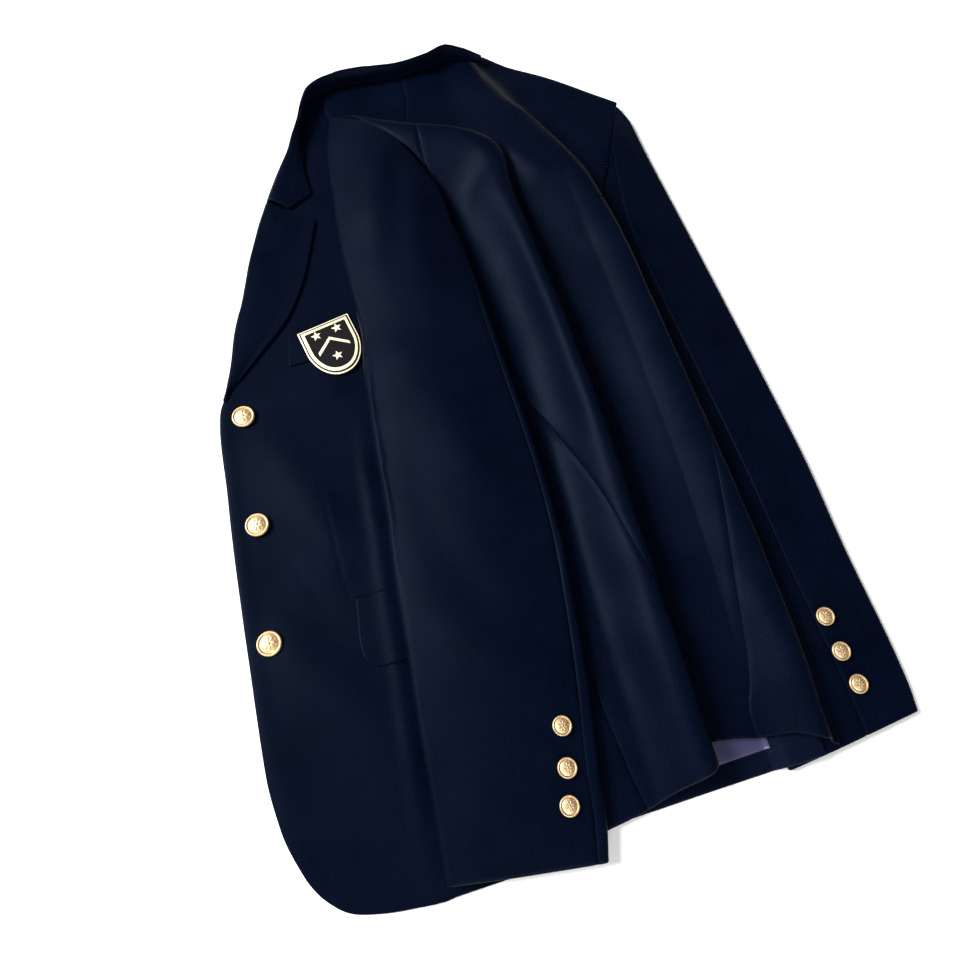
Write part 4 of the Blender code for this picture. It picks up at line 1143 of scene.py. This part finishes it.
def badgePlate(name, outline, low, thickness, roundTop, finish):
    curve = bpy.data.curves.new(name, "CURVE")
    curve.dimensions = "2D"
    curve.fill_mode = "BOTH"
    curve.extrude = (thickness / 2 - roundTop) * mm
    curve.bevel_depth = roundTop * mm
    curve.bevel_resolution = 2
    curve.offset = -roundTop * mm
    spline = curve.splines.new("POLY")
    spline.points.add(len(outline) - 1)
    for point, (x, y) in zip(spline.points, outline):
        point.co = (x * mm, y * mm, 0, 1)
    spline.use_cyclic_u = True
    curve.materials.append(finish)
    made = putInScene(name, curve)
    centre = np.array([*badge["at"], low + thickness / 2]) + garmentShift
    made.location = Vector(centre) * mm
    made.rotation_euler = (0, 0, badge["turn"])
    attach(made, "root")
    return made


def makeBadge():
    plates = []
    for name, share, up, thickness, roundTop, finish in [
        ("badgeBacking", 1.0, 0.0, 1.2, 0.3, paleGilt),
        ("badgeLine", 0.95, 1.0, 0.5, 0.1, blackEnamel),
        ("badgeRim", 0.90, 1.2, 0.9, 0.4, paleGilt),
        ("badgeFace", 0.79, 1.9, 0.5, 0.1, blackEnamel),
    ]:
        outline = shieldOutline(badge["width"] * share, badge["height"] * share)
        plates.append((name, outline, badge["low"] + up, thickness, roundTop, finish))
    mark = badge["low"] + 2.1
    plates.append(("badgeChevron", badge["chevron"], mark, 0.6, 0.15, paleGilt))
    for number, spot in enumerate(badge["stars"], 1):
        plates.append((f"badgeStar{number}", starOutline(*spot), mark, 0.6, 0.12, paleGilt))
    for name, outline, low, thickness, roundTop, finish in plates:
        made = badgePlate(name, outline, low, thickness, roundTop, finish)
        if name in badge["stands"]:
            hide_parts(badge["stands"][name])


makeBadge()
print("badge made")


# Camera where the photograph was taken, a pale floor and soft studio light

studio = {
    "cameraHeight": 563.0,
    "lens": 26.25,
    "tilt": 20.0,
    "turn": 17.0,
    "floorColour": (0.96, 0.96, 0.96, 1),
    "world": 0.2,
    # (name, place in metres, size, watts)
    "lamps": [
        ("softKey", (-2.3, 1.1, 2.35), 1.4, 255.0),
        ("softFill", (-0.6, -2.4, 1.5), 1.6, 66.0),
    ],
}


def makeStudio():
    camera = putInScene("camera", bpy.data.cameras.new("camera"))
    camera.data.lens = studio["lens"]
    camera.data.sensor_width = 36
    place = (np.array([0, 0, studio["cameraHeight"]]) + garmentShift) * mm
    turn = Matrix.Rotation(-math.radians(studio["turn"]), 4, "Z")
    tilt = Matrix.Rotation(math.radians(studio["tilt"]), 4, "X")
    camera.matrix_world = Matrix.Translation(place) @ turn @ tilt
    bpy.context.scene.camera = camera

    floorMesh = bpy.data.meshes.new("floor")
    made = bmesh.new()
    bmesh.ops.create_grid(made, x_segments=4, y_segments=4, size=6.0)
    made.to_mesh(floorMesh)
    made.free()
    floor = putInScene("floor", floorMesh)
    floor.location = (0, 0, -0.0002)
    finish, tree, shader = newMaterial("floorPaint")
    floorLook = {"Base Color": studio["floorColour"], "Roughness": 0.9, "Specular IOR Level": 0.1}
    giveInputs(tree, shader, floorLook)
    floorMesh.materials.append(finish)

    world = bpy.data.worlds.new("studio")
    world.use_nodes = True
    background = world.node_tree.nodes["Background"]
    background.inputs["Color"].default_value = (1, 1, 1, 1)
    background.inputs["Strength"].default_value = studio["world"]
    bpy.context.scene.world = world
    bpy.context.scene.view_settings.view_transform = "Standard"

    for name, place, size, watts in studio["lamps"]:
        lamp = bpy.data.lights.new(name, "AREA")
        lamp.size = size
        lamp.energy = watts
        made = putInScene(name, lamp)
        made.location = place
        made.rotation_euler = (-Vector(place)).to_track_quat("-Z", "Y").to_euler()


makeStudio()
print("studio made")
